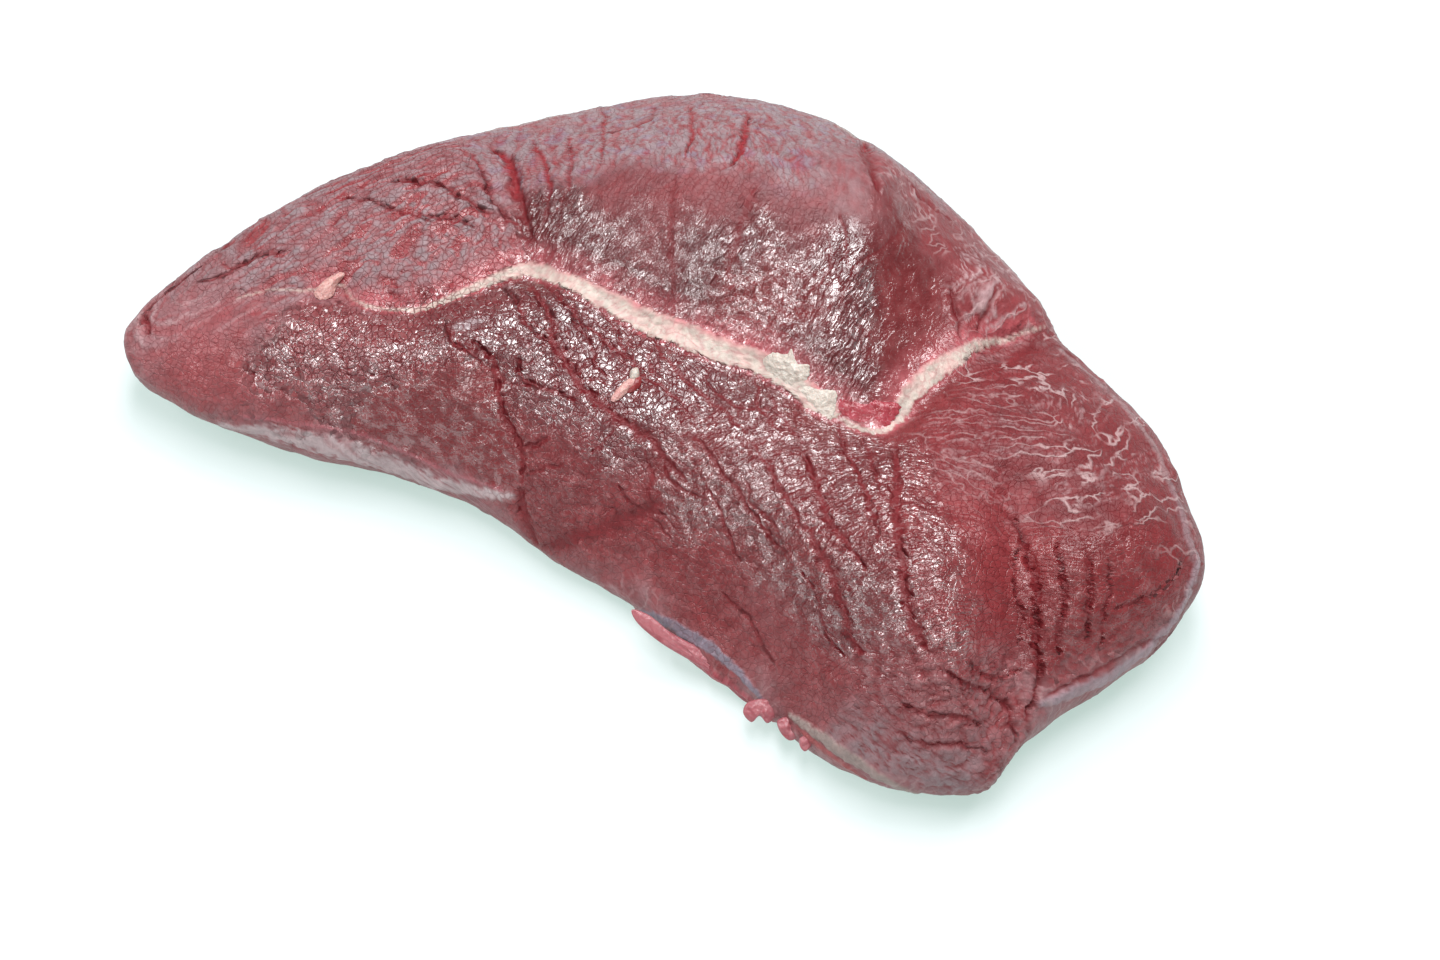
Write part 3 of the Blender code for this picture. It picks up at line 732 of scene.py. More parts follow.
# Creases: (u, v) run, half width in mm, depth in mm. They are narrow valleys, darkened in the colour further down by
# painted shade together with the deeper red of the meat in them.
BRANCHES = [   # in the near muscle, running down from the seam
    ([(528, 276), (535, 290), (549, 314), (553, 336), (566, 362), (576, 380), (597, 400), (619, 418), (647, 437), (664, 457), (678, 474), (700, 492)], 1.15, 0.9),
    ([(500, 284), (520, 306), (526, 328), (548, 340), (565, 362)], 0.6, 0.5),
    ([(537, 278), (562, 300), (587, 326), (612, 345), (632, 362), (649, 379), (666, 387), (690, 412)], 0.7, 0.6),
    ([(590, 292), (601, 306), (618, 334), (632, 362)], 0.5, 0.45),
    ([(640, 315), (653, 336), (672, 364), (700, 392), (734, 420), (752, 441)], 0.6, 0.6),
    ([(466, 335), (481, 348), (493, 364), (499, 398), (502, 415), (514, 432), (521, 455), (521, 490)], 0.8, 0.9),
    ([(522, 350), (517, 370), (530, 384), (559, 393), (580, 402)], 0.6, 0.5),
    ([(686, 426), (709, 454), (731, 485), (754, 516), (776, 545), (790, 560)], 0.6, 0.7),
    ([(748, 440), (770, 468), (787, 502), (801, 521), (806, 540)], 0.7, 0.8),
    ([(752, 372), (758, 388), (759, 406), (773, 426), (793, 434)], 0.55, 0.5),
    ([(798, 446), (812, 470), (824, 512), (836, 530), (858, 557), (870, 575)], 0.9, 1.0),
    ([(662, 450), (669, 478), (684, 492), (704, 500)], 0.5, 0.4),
    ([(616, 482), (636, 507), (655, 520), (670, 540)], 0.5, 0.4),
    ([(805, 520), (816, 546), (830, 574), (844, 613), (852, 640), (862, 668)], 1.3, 0.9),
    ([(552, 437), (536, 444), (521, 451)], 0.6, 0.5),
    ([(566, 462), (545, 468), (523, 476)], 0.5, 0.4),
    ([(615, 426), (606, 442), (590, 452)], 0.5, 0.4),
    ([(446, 318), (452, 340), (470, 352), (488, 372)], 0.5, 0.4),
    ([(578, 300), (575, 322), (590, 340), (596, 362), (612, 380)], 0.5, 0.4),
    ([(655, 345), (648, 362), (662, 378)], 0.45, 0.4),
    ([(704, 372), (716, 392), (742, 408), (768, 412), (790, 424)], 0.5, 0.5),
    ([(770, 396), (782, 420), (806, 448)], 0.5, 0.5),
    ([(838, 424), (846, 450), (860, 478), (872, 512), (880, 548)], 0.6, 0.6),
    ([(862, 432), (872, 462), (882, 498)], 0.5, 0.5),
    ([(700, 478), (716, 508), (728, 540), (742, 566)], 0.5, 0.4),
    ([(640, 442), (652, 470), (650, 498), (668, 520), (690, 530)], 0.5, 0.35),
    ([(742, 474), (752, 504), (774, 528), (784, 556)], 0.5, 0.4),
    ([(722, 590), (744, 612), (760, 640), (776, 668)], 0.5, 0.4),
    ([(796, 566), (816, 596), (826, 630), (846, 662)], 0.5, 0.5),
]
VALLEYS = [    # broader folds
    ([(894, 440), (896, 468), (896, 516), (900, 557), (908, 612), (922, 642), (940, 662)], 1.8, 1.5),
    ([(541, 548), (570, 540), (608, 527), (640, 514), (668, 500)], 2.4, 0.9),
    ([(519, 486), (524, 520), (541, 548)], 1.6, 1.2),
    ([(1000, 505), (1020, 528), (1030, 564), (1038, 588), (1034, 624), (1036, 650), (1040, 680), (1030, 710), (1024, 735)], 1.0, 1.8),
    ([(1056, 540), (1063, 570), (1064, 600), (1060, 632), (1059, 662)], 0.8, 1.2),
    ([(1085, 548), (1090, 580), (1089, 612), (1086, 645)], 0.8, 1.1),
    ([(1108, 556), (1110, 590), (1104, 622), (1102, 650)], 0.6, 0.7),
    ([(1180, 555), (1172, 580), (1140, 600), (1112, 610)], 0.6, 0.6),
    ([(1016, 540), (1014, 580), (1022, 618), (1018, 650)], 0.6, 0.5),
    ([(992, 672), (994, 696), (1009, 708), (1016, 744)], 0.8, 1.1),
    ([(964, 660), (984, 676), (1006, 676), (1026, 664)], 0.8, 0.9),
    ([(945, 668), (966, 684), (990, 690)], 0.7, 0.8),
    ([(900, 700), (930, 716), (962, 716), (985, 728)], 0.7, 0.8),
    ([(890, 726), (920, 742), (956, 744), (990, 752)], 0.7, 0.8),
    ([(494, 143), (512, 166), (517, 191), (523, 212), (531, 246)], 1.6, 2.4),
    ([(470, 150), (486, 176), (500, 208), (520, 230), (531, 248)], 0.8, 1.0),
    ([(531, 136), (546, 164), (550, 194), (542, 222), (534, 246)], 0.8, 1.0),
    ([(566, 134), (572, 160), (566, 190), (552, 220)], 0.6, 0.6),
    ([(388, 178), (428, 180), (452, 190), (470, 202), (500, 213)], 1.0, 1.2),
    ([(416, 214), (453, 219), (480, 228)], 0.7, 0.8),
    ([(340, 196), (372, 200), (402, 212), (438, 222)], 0.6, 0.7),
    ([(822, 226), (831, 250), (826, 272), (806, 294), (786, 322)], 0.5, 0.4),
    ([(899, 233), (880, 247), (856, 268), (842, 290), (838, 312)], 0.5, 0.5),
    ([(839, 210), (845, 240), (846, 270)], 0.6, 0.6),
    ([(866, 136), (872, 168), (882, 196)], 1.6, 2.0),
    ([(862, 142), (866, 160), (878, 182), (884, 198)], 0.8, 1.0),
    ([(947, 286), (958, 312), (960, 342)], 0.9, 1.4),
    ([(1000, 288), (988, 310), (976, 334)], 0.8, 1.2),
    ([(1047, 326), (1022, 334), (996, 344), (972, 352)], 1.2, 2.0),
    ([(688, 104), (692, 122), (690, 142), (684, 164)], 0.7, 0.7),
    ([(748, 112), (743, 142), (736, 156), (726, 168)], 1.1, 1.2),
    ([(600, 108), (604, 130), (602, 168)], 0.5, 0.5),
    ([(650, 102), (652, 118), (622, 128), (590, 134)], 0.6, 0.6),
    ([(677, 172), (672, 214), (671, 267), (674, 304)], 1.0, 0.4),
    ([(758, 186), (742, 220), (732, 262), (726, 288)], 2.0, 0.6),
    ([(905, 176), (916, 190), (940, 214), (952, 222)], 0.8, 0.8),
    ([(140, 316), (148, 326), (146, 336)], 1.2, 1.8),
    ([(138, 330), (152, 304), (178, 282), (204, 264)], 0.8, 0.8),
    ([(196, 284), (224, 274), (256, 258), (290, 250)], 0.8, 0.6),
    ([(1040, 700), (1080, 680), (1110, 664), (1140, 648), (1170, 634)], 0.8, 0.8),
    ([(1150, 664), (1164, 644), (1180, 630)], 0.8, 1.2),
]

pressed = np.zeros(COUNT)        # along the normal, mm
crease = np.zeros(COUNT)         # 0 to 1, how deep in a crease


def press(runs, wobble, first, wide, least):
    for n, (run, width, depth) in enumerate(runs):
        path = on_skin(run, 6.0, wobble, first + n)
        k, d, along = close_by(path, width * 5)
        ragged = 1 + 0.6 * noise(base[k] / 2.0, 900 + n)
        w = 1.3 * width * np.clip(ragged, 0.4, 1.8) * (0.5 + 0.5 * taper(along, 0.35))
        w = np.maximum(w, 0.42)
        deep = taper(along, 0.1)
        cut = 0.7 * depth * deep * np.exp(-(d / w) ** 2)
        lip = 0.22 * depth * deep * np.exp(-((d - 2.0 * w) / (0.9 * w)) ** 2)
        pressed[k] = np.minimum(pressed[k] + lip * (1 - crease[k]), 0.8)
        pressed[k] = np.minimum(pressed[k], -cut + np.maximum(pressed[k], 0) * (1 - deep * np.exp(-(d / w) ** 2)))
        crease[k] = np.maximum(crease[k], deep * np.exp(-(d / (w * wide)) ** 2) * min(1.0, least + depth * 0.4))


press([(run, 1.05 * width, 1.05 * depth) for run, width, depth in BRANCHES], 3.0, 0, 1.05, 0.6)
press(VALLEYS, 2.5, 50, 0.8, 0.42)

# ------------------------------------------------------------- the fat seam

# (u, v) along the middle of the fat, and its half width there in steps of the frame
FAT_RUN = [
    (239, 299, 0.8), (267, 291, 1.0), (300, 290, 1.3), (328, 287, 2.0), (342, 285, 1.4), (354, 299, 1.6), (376, 308, 2.2),
    (412, 311, 3.4), (440, 304, 4.6), (474, 288, 5.4), (505, 275, 6.2), (531, 270, 7.4), (562, 279, 7.6), (593, 293, 9.0),
    (626, 311, 10.5), (660, 326, 11.5), (688, 336, 11.5), (716, 348, 11.0), (744, 357, 10.5), (772, 368, 11.0), (794, 381, 12.0),
    (812, 398, 11.0), (830, 411, 8.0)]
FAT_RIGHT = [
    (898, 414, 6.0), (904, 403, 8.0), (914, 389, 9.5), (930, 375, 9.5), (946, 364, 8.5), (958, 356, 7.0), (972, 347, 5.5),
    (988, 342, 4.0), (1006, 339, 2.6), (1029, 330, 1.8), (1044, 326, 1.2)]
FAT_LOW = [(842, 418, 1.6), (854, 426, 2.8), (870, 431, 3.2), (886, 429, 3.0), (900, 418, 3.4)]

fat = np.zeros(COUNT)
fat_side = np.zeros(COUNT)       # -1 at the near muscle's edge, 1 at the far muscle's
fat_name = np.zeros(COUNT)
fat_body = np.zeros(COUNT)       # 0 to 1, how far into the body of the fat
rosy = np.zeros(COUNT)           # the pink flesh beside the fat


def lay_fat(run, name, ragged_by):
    run = np.array(run, float)
    centre = spline(run, 4.0)
    path = np.array([base[at(u, v)] for u, v, _ in centre])
    k, d, along = close_by(path, 12.0)
    seg = np.r_[0, np.cumsum(np.linalg.norm(np.diff(path, axis=0), axis=1))]
    half = np.maximum(np.interp(along * seg[-1], seg, centre[:, 2]) * 0.39, 0.45)
    thin = 1 - smooth(0.5, 1.6, half)
    ways = np.gradient(path, axis=0)
    i = np.clip(np.searchsorted(seg, along * seg[-1]), 0, len(path) - 1)
    side = np.sign((np.cross(ways[i], base[k] - path[i]) * normal[k]).sum(1))
    signed = side * d
    q = base[k]
    ragged = (noise(q / 1.2, 101) * 0.8 + noise(q / 2.9, 102) * 0.9 + noise(q / 7.0, 103) * 0.6) * ragged_by
    ragged = np.where(signed < 0, ragged, ragged * 0.5)
    mask = smooth(-0.45 * thin, 0.5 + 0.3 * thin, half + ragged * np.minimum(half * 0.5, 0.9) - d) * (1 - 0.25 * thin)
    better = mask > fat[k]
    fat[k] = np.maximum(fat[k], mask)
    fat_body[k] = np.maximum(fat_body[k], smooth(-0.9, 1.3, half + 0.5 * ragged - d) * smooth(1.0, 4.5, half))
    fat_side[k[better]] = (signed / np.maximum(half, 0.3))[better]
    fat_name[k[better]] = name
    near = np.where(signed > 0, 6.0, 1.3)
    rosy[k] = np.maximum(rosy[k], np.exp(-(np.maximum(d - half, 0) / near) ** 2) * smooth(0.42, 0.75, half))


lay_fat(FAT_RUN, 1, 0.9)
lay_fat(FAT_RIGHT, 2, 0.9)
lay_fat(FAT_LOW, 3, 1.2)
fat_lump = noise(base / 1.6, 111) + 0.6 * noise(base / 0.85, 112)
clod_edge, clod_name = cells(base / 3.0, 113)
fat_mm = fat_body * (0.75 + 0.18 * fat_lump + 0.5 * smooth(0.02, 0.3, clod_edge) * (clod_name - 0.3) )

# Bands of skin along the edges: run of (u, v, half width), height in mm, colour, softness
BANDS = [
    ([(222, 424, 4), (262, 434, 8), (300, 441, 11), (340, 450, 12), (380, 462, 12.5), (420, 476, 11), (460, 487, 8), (492, 493, 5), (514, 495, 3)],
     0.4, (206, 182, 184), 0.9, 0.95),
    ([(244, 418, 1.2), (300, 425, 1.8), (350, 434, 2.0), (400, 450, 2.2), (450, 471, 2.2), (500, 489, 2.4)], 0.5, (196, 110, 120), 0.8, 0.7),
    ([(640, 612, 2), (662, 620, 4.5), (688, 634, 6), (712, 648, 5.5), (735, 668, 4), (758, 694, 3), (770, 712, 2)],
     0.4, (140, 128, 142), 0.25, 0.95),
    ([(632, 620, 3), (652, 636, 6), (678, 654, 8), (704, 668, 8.5), (728, 686, 8), (750, 706, 6), (768, 722, 5)],
     1.4, (186, 78, 90), 0.5, 1.0),
    ([(790, 716, 2.5), (815, 732, 4.5), (845, 752, 6), (872, 770, 6), (898, 785, 5), (915, 792, 3)], 0.7, (168, 148, 142), 0.3, 0.95),
    ([(800, 730, 2), (826, 750, 3.5), (850, 768, 3.5), (866, 778, 2)], 0.7, (176, 84, 84), 0.5, 0.8),
    ([(1040, 704, 3), (1072, 692, 6), (1102, 682, 8), (1130, 664, 8), (1156, 642, 7), (1176, 618, 6), (1190, 588, 5), (1196, 556, 4)],
     0.6, (174, 150, 158), 0.5, 0.9),
    ([(1170, 480, 4), (1184, 520, 5), (1192, 556, 5)], 0.3, (172, 140, 146), 0.8, 0.65),
    ([(1060, 350, 3), (1096, 380, 4), (1130, 416, 4.5), (1156, 452, 4.5), (1172, 486, 4)], 0.3, (180, 150, 152), 0.8, 0.6),
    ([(385, 158, 3), (420, 146, 4), (455, 134, 4), (480, 128, 3)], 0.5, (176, 148, 152), 0.8, 0.6),
    ([(486, 132, 2), (508, 126, 4), (530, 118, 3.5), (562, 112, 3), (600, 106, 2.5)], 0.6, (188, 170, 166), 0.7, 0.7),
    ([(818, 112, 2), (834, 124, 4), (850, 132, 4.5), (866, 136, 3)], 0.6, (184, 166, 160), 0.6, 0.8),
    ([(908, 176, 3), (930, 190, 5), (962, 214, 6), (994, 244, 7), (1020, 272, 6), (1040, 300, 4)], 0.4, (172, 142, 142), 0.9, 0.7),
    ([(456, 329, 3), (466, 326, 6), (478, 322, 4), (486, 318, 2)], 0.1, (196, 178, 182), 0.7, 0.6),
]
banded = np.zeros(COUNT)
band_mm = np.zeros(COUNT)
band_colour = np.zeros((COUNT, 3))
for n, (run, lift, tint, soft, strength) in enumerate(BANDS):
    run = np.array(run, float)
    centre = spline(run, 4.0)
    path = np.array([base[at(u, v)] for u, v, _ in centre])
    k, d, along = close_by(path, 9.0)
    half = np.interp(along, np.linspace(0, 1, len(centre)), centre[:, 2]) * 0.36
    rag = (0.7 * noise(base[k] / 2.6, 300 + n) + 0.5 * noise(base[k] / 1.3, 320 + n)) * half * (0.25 + 0.5 * soft)
    w = smooth(-0.25 - soft, 0.25 + soft, half + rag - d) * strength
    w *= np.clip(1 + 0.7 * soft * noise(np.c_[grain[k] / np.array([6.0, 1.4]), np.full(len(k), n)], 340), 0, 1)
    band_mm[k] = np.maximum(band_mm[k], w * lift)
    later = w > banded[k] * 0.9
    band_colour[k[later]] = np.array(tint, float)
    banded[k] = np.maximum(banded[k], w)

# ------------------------------------------------------------- put together

lying = smooth(0.4, 3.5, base[:, 2])       # nothing is pressed into the flat underside
kept = 1 - 0.9 * fat * smooth(0.1, 0.7, fat_body)
micro = noise(base / 1.3, 71) * 0.10 * (0.4 + plated)
total = swell + (lumps + micro - 0.4 * plate_line) * kept + pressed * (1 - 0.7 * fat) + fat_mm + band_mm
total = np.clip(total, -6, 3.0) * lying
final = base + normal * total[:, None]
final[:, 2] = np.maximum(final[:, 2], 0.0)
put(meat_mesh, final)

# ---------------------------------------------------------------- the colour


def hue(r, g, b):
    """A colour as it looks on a screen, 0 to 255, as light"""
    c = np.array([r, g, b]) / 255
    return np.where(c <= 0.04045, c / 12.92, ((c + 0.055) / 1.055) ** 2.4)


def mix(a, b, t):
    t = np.clip(t, 0, 1)[:, None]
    return a * (1 - t) + b * t


RED, DEEP, PINK = hue(144, 47, 51), hue(94, 22, 27), hue(168, 80, 86)
FILM_SHEEN_GREY, LILAC, PALE = hue(146, 123, 127), hue(112, 104, 146), hue(186, 154, 156)
CREAM, ROSE, ASH = hue(188, 174, 164), hue(192, 116, 120), hue(162, 152, 140)
# BRIGHT is the red of open film and gashes; the second colour is a deep red used as painted shade in creases and cracks
BRIGHT, CREASE_SHADE_RED = hue(150, 34, 42), hue(116, 30, 36)

cloud = noise(base / 26.0, 201)
patch = noise(base / 7.0, 202)
speck = noise(base / 1.6, 203)
colour = np.repeat(RED[None], COUNT, 0)
colour = mix(colour, DEEP, 0.10 + 0.20 * cloud + 0.12 * patch + field["dark"] * 1.5)
colour = mix(colour, PINK, 0.06 + 0.16 * noise(base / 11.0, 204) + 0.10 * speck - field["dark"])
colour = mix(colour, hue(198, 98, 106), 0.78 * rosy * (1 - fat) * np.clip(0.75 + 0.5 * patch, 0, 1))
# grey film: partly a real grey skin and partly painted sheen that stands for reflected light; it is lighter on lump
# crests and kept out of creases and open pits
film_and_sheen = field["film_and_sheen"] * np.clip(0.62 + 0.42 * crest + 0.25 * patch, 0, 1.1)
film_and_sheen = film_and_sheen * (1 - 0.85 * np.clip(1.4 * rosy, 0, 1)) * (1 - 0.8 * np.clip(groove + crease, 0, 1)) * (1 - 0.85 * np.clip(pit, 0, 1))
colour = mix(colour, BRIGHT, 0.55 * np.clip(pit, 0, 1))
colour = mix(colour, FILM_SHEEN_GREY, film_and_sheen)
lilac = by_kind["film_and_sheen"] * smooth(0.1, 0.55, noise(base / 5.0 + 3, 205)) * smooth(-0.2, 0.3, cloud + 0.3)
colour = mix(colour, LILAC, 0.2 * lilac * (1 - groove))
colour = mix(colour, PALE, 0.75 * np.clip(thread, 0, 1) * (1 - 0.8 * crease))
# painted shade: creases, the grooves between lumps and the cracks between plates are darkened towards a deep red,
# partly the deeper red of the meat in them
colour = mix(colour, CREASE_SHADE_RED, 0.55 * groove + 0.95 * crease + 0.85 * plate_line)
colour = mix(colour, BRIGHT, by_kind["film_and_sheen"] * np.clip(groove * 0.8 + crease, 0, 1) * 0.8)
tints = np.where(band_colour / 255 <= 0.04045, band_colour / 255 / 12.92, ((band_colour / 255 + 0.055) / 1.055) ** 2.4)
colour = mix(colour, tints * 0.86 * (1 + 0.12 * speck)[:, None], banded * (1 - 0.6 * crease))

fat_colour = np.repeat(CREAM[None], COUNT, 0)
fat_colour = mix(fat_colour, ROSE, 0.08 + 0.75 * smooth(0.3, 1.0, fat_side) + 0.30 * noise(base / 4.0, 211))
fat_colour = mix(fat_colour, ASH, 0.10 + 0.25 * noise(base / 2.0, 212) + 0.30 * smooth(0.5, 1.0, -fat_side) * (fat_name == 1))
fat_colour = fat_colour * (0.92 + 0.12 * np.clip(fat_lump, -1, 1))[:, None]
fat_colour = mix(fat_colour, ROSE * 0.7, 0.5 * np.exp(-(clod_edge / 0.05) ** 2))
colour = colour * (0.76 - 0.03 * by_kind["sheer"])[:, None]
colour = mix(colour, fat_colour, fat)


def keep(name, values, kind='FLOAT', field_name="value"):
    a = meat_mesh.attributes.new(name, kind, 'POINT')
    a.data.foreach_set(field_name, np.ascontiguousarray(values, np.float32).ravel())


keep("paint", np.c_[np.clip(colour, 0, 1), np.ones(COUNT)], 'FLOAT_COLOR', "color")
shaken = grain + 0.5 * sway + 0.45 * np.stack([noise(base / 1.9, s) for s in (221, 222)], 1)
shares = np.stack([
    sum(by_kind[name] for name in LEANING),
    sum(by_kind[name] for name in ("ripple", "net", "strand", "leaf", "film_and_sheen", "veil", "sheer", "tip", "skin")),
    np.zeros(COUNT)])
shares[2] = 1 - shares[0] - shares[1]
ranked = np.sort(shares, 0)
sure = smooth(0.05, 0.5, ranked[2] - ranked[1])        # the ways change only where the marks are faint
first = shares.argmax(0)[:, None]
tremble = 0.45 * np.stack([noise(base / 1.9, s) for s in (221, 222)], 1)
marks = np.where(first == 0, (leant + 0.4 * sway + tremble) / np.array([4.6, 1.25]),
                 np.where(first == 1, shaken / np.array([4.0, 1.3]), shaken / np.array([1.1, 3.2])))
keep("grain", np.c_[marks, np.zeros(COUNT)], 'FLOAT_VECTOR', "vector")
spread = np.stack([base @ RIGHT, base @ UPWARD], 1) + 0.5 * sway + 0.35 * np.stack([noise(base / 1.7, s) for s in (223, 224)], 1)
keep("spread", np.c_[spread, np.zeros(COUNT)], 'FLOAT_VECTOR', "vector")
knots = shaken / np.array([6.4, 3.4]) + 0.30 * np.stack([rough_noise(base / 8.0, 2, s) for s in (225, 226)], 1)
keep("knots", np.c_[knots, np.zeros(COUNT)], 'FLOAT_VECTOR', "vector")
bare = (1 - fat * smooth(0.05, 0.6, fat_body)) * (1 - 0.7 * crease)
keep("fine", np.c_[field["cracks"] * bare, field["ribs"] * bare * sure, field["streaks"] * bare * sure], 'FLOAT_VECTOR', "vector")
web = np.clip(sum(by_kind[name] * share for name, share in (
    ("net", 1.0), ("ripple", 0.45), ("strand", 0.55), ("skin", 0.35), ("block", 0.12), ("tip", 0.2))), 0, 1)
web = 0.8 * web * smooth(-0.45, 0.35, rough_noise(base / 11.0, 3, 227))
open_lenses = by_kind["leaf"] + 0.4 * by_kind["tip"] + 0.2 * by_kind["skin"]
keep("more", np.c_[web * bare, open_lenses * bare, np.clip(film_and_sheen, 0, 1) * bare], 'FLOAT_VECTOR', "vector")
gloss = field["gloss"] * (1 - 0.6 * np.clip(film_and_sheen, 0, 1)) * (1 - 0.5 * np.clip(thread, 0, 1)) * (1 - 0.6 * np.clip(crease + 0.5 * groove, 0, 1))
keep("look", np.c_[gloss, fat, crease], 'FLOAT_VECTOR', "vector")

# The unrolled map: the top face in one island, the underside in a smaller one
rim_xy = np.stack([np.interp(TURNS * MERIDIANS, np.arange(MERIDIANS + 1), np.r_[RIM_CURVE[:, c], RIM_CURVE[0, c]])
                   for c in (0, 1)], 1) - np.array(CENTRE)
over, under = COLAT / EQUATOR, (1 - COLAT) / (1 - EQUATOR)
flat_top = rim_xy * over[:, None]
flat_low = rim_xy * under[:, None]
scale_top = 0.96 / 372.0
uv_top = np.stack([0.5 + flat_top[:, 0] * scale_top, 0.30 + (flat_top[:, 1] + 20) * scale_top], 1)
uv_low = np.stack([0.5 - flat_low[:, 0] * scale_top * 0.55, 0.83 + (flat_low[:, 1] - 8) * scale_top * 0.55], 1)
loops = np.empty(len(meat_mesh.loops), np.int32)
meat_mesh.loops.foreach_get("vertex_index", loops)
quads = loops.reshape(-1, 4)
on_top = (COLAT[quads].min(1) < EQUATOR)
uvs = np.where(np.repeat(on_top, 4)[:, None], uv_top[loops], uv_low[loops])
layer = meat_mesh.uv_layers.new(name="OFBake")
layer.data.foreach_set("uv", uvs.astype(np.float32).ravel())
meat_mesh.shade_smooth()

roast = bpy.data.objects.new("roast_meat", meat_mesh)
bpy.context.scene.collection.objects.link(roast)

# ------------------------------------------------------------- the material


def build_meat(name):
    mat = bpy.data.materials.new(name)
    mat.use_nodes = True
    nt = mat.node_tree
    shader = nt.nodes["Principled BSDF"]

    def node(kind, **sets):
        n = nt.nodes.new(kind)
        for key, value in sets.items():
            setattr(n, key, value)
        return n

    def link(a, b):
        nt.links.new(a, b)

    def fill(n, *values):
        for socket, value in zip(n.inputs, values):
            if value is None:
                continue
            if isinstance(value, (int, float, tuple)):
                socket.default_value = value
            else:
                link(value, socket)
        return n

    def math(op, a, b=None, clamp=False):
        return fill(node("ShaderNodeMath", operation=op, use_clamp=clamp), a, b).outputs[0]

    def vector(op, a, b=None):
        return fill(node("ShaderNodeVectorMath", operation=op), a, b).outputs[0]

    def span(value, lo, hi, to_lo=0.0, to_hi=1.0, soft=True):
        n = node("ShaderNodeMapRange", interpolation_type='SMOOTHSTEP' if soft else 'LINEAR')
        return fill(n, value, lo, hi, to_lo, to_hi).outputs["Result"]

    def split(value):
        n = node("ShaderNodeSeparateXYZ")
        link(value, n.inputs[0])
        return n.outputs

    def attribute(name):
        return node("ShaderNodeAttribute", attribute_name=name)

    def noise_at(where, scale, detail=2.0, rough=0.5, flat=False):
        n = node("ShaderNodeTexNoise", noise_dimensions='2D' if flat else '3D')
        link(where, n.inputs["Vector"])
        n.inputs["Scale"].default_value = scale
        n.inputs["Detail"].default_value = detail
        n.inputs["Roughness"].default_value = rough
        return n

    def cells_at(where, scale, feature, way='2D'):
        n = node("ShaderNodeTexVoronoi", feature=feature, voronoi_dimensions=way)
        link(where, n.inputs["Vector"])
        n.inputs["Scale"].default_value = scale
        return n

    where = node("ShaderNodeTexCoord").outputs["Object"]
    paint = attribute("paint").outputs["Color"]
    lie = attribute("grain").outputs["Vector"]
    cracks, ribs, streaks = split(attribute("fine").outputs["Vector"])
    gloss, fat, crease = split(attribute("look").outputs["Vector"])
    web, pits, film_and_sheen = split(attribute("more").outputs["Vector"])

    blotch = noise_at(where, 260, 2).outputs["Fac"]
    # plates, each tilted its own way, with cracks between them
    net = vector('MULTIPLY', attribute("spread").outputs["Vector"], (1.0, 1.0, 0.0))
    big = cells_at(net, 1 / 1.9, 'F1')
    big_edge = cells_at(net, 1 / 1.9, 'DISTANCE_TO_EDGE').outputs["Distance"]
    lean = vector('SUBTRACT', big.outputs["Color"], (0.5, 0.5, 0.5))
    from_mid = vector('SUBTRACT', vector('MULTIPLY', net, (1 / 1.9, 1 / 1.9, 0.0)), big.outputs["Position"])
    tilted = fill(node("ShaderNodeVectorMath", operation='DOT_PRODUCT'), lean, from_mid).outputs["Value"]
    plates = math('ADD', math('MULTIPLY', math('SUBTRACT', span(big_edge, 0.0, 0.16), 0.8), 0.26), math('MULTIPLY', tilted, 0.36))
    # ribs across the grain or streaks along it, and wrinkles
    rib = noise_at(vector('MULTIPLY', lie, (1.0, 1.0, 0.0)), 1.0, 1.5, flat=True).outputs["Fac"]
    wrinkle = noise_at(net, 0.75, 2.0, 0.6, flat=True).outputs["Fac"]
    # a net of pale threads
    knots = attribute("knots").outputs["Vector"]
    threads = span(cells_at(knots, 1.0, 'DISTANCE_TO_EDGE').outputs["Distance"], 0.01, 0.10, 1.0, 0.0)
    threads = math('MULTIPLY', threads, web)

    height = math('MULTIPLY', plates, cracks)
    height = math('ADD', height, math('MULTIPLY', math('MULTIPLY', math('SUBTRACT', rib, 0.5), 1.25), math('MAXIMUM', ribs, streaks)))
    height = math('ADD', height, math('MULTIPLY', wrinkle, 0.24))
    height = math('ADD', height, math('MULTIPLY', threads, 0.30))
    bump = node("ShaderNodeBump")
    bump.inputs["Strength"].default_value = 1.0
    bump.inputs["Distance"].default_value = MM
    link(height, bump.inputs["Height"])
    link(bump.outputs["Normal"], shader.inputs["Coat Normal"])
    link(bump.outputs["Normal"], shader.inputs["Normal"])
    wet = math('MULTIPLY', span(gloss, 0.25, 0.85), span(blotch, 0.45, 0.56, 0.23, 1.0))
    wet = math('MULTIPLY', wet, math('SUBTRACT', math('SUBTRACT', 1.0, math('MULTIPLY', crease, 0.8)), fat), clamp=True)
    link(wet, shader.inputs["Coat Weight"])
    shader.inputs["Coat Roughness"].default_value = 0.08
    shader.inputs["Coat IOR"].default_value = 2.3

    # colour: fine mottling, and painted shade: darker red in the cracks between plates and in the hollows between ribs
    tone = span(blotch, 0.3, 0.7, 0.86, 1.14, soft=False)
    crack_shade = span(big_edge, 0.03, 0.14, 1.0, 0.0)
    crack_shade = math('MULTIPLY', crack_shade, cracks)
    rib_valley_shade = math('MULTIPLY', span(rib, 0.32, 0.46, 1.0, 0.0), math('MULTIPLY', ribs, 0.5))
    dark = math('MAXIMUM', crack_shade, rib_valley_shade)
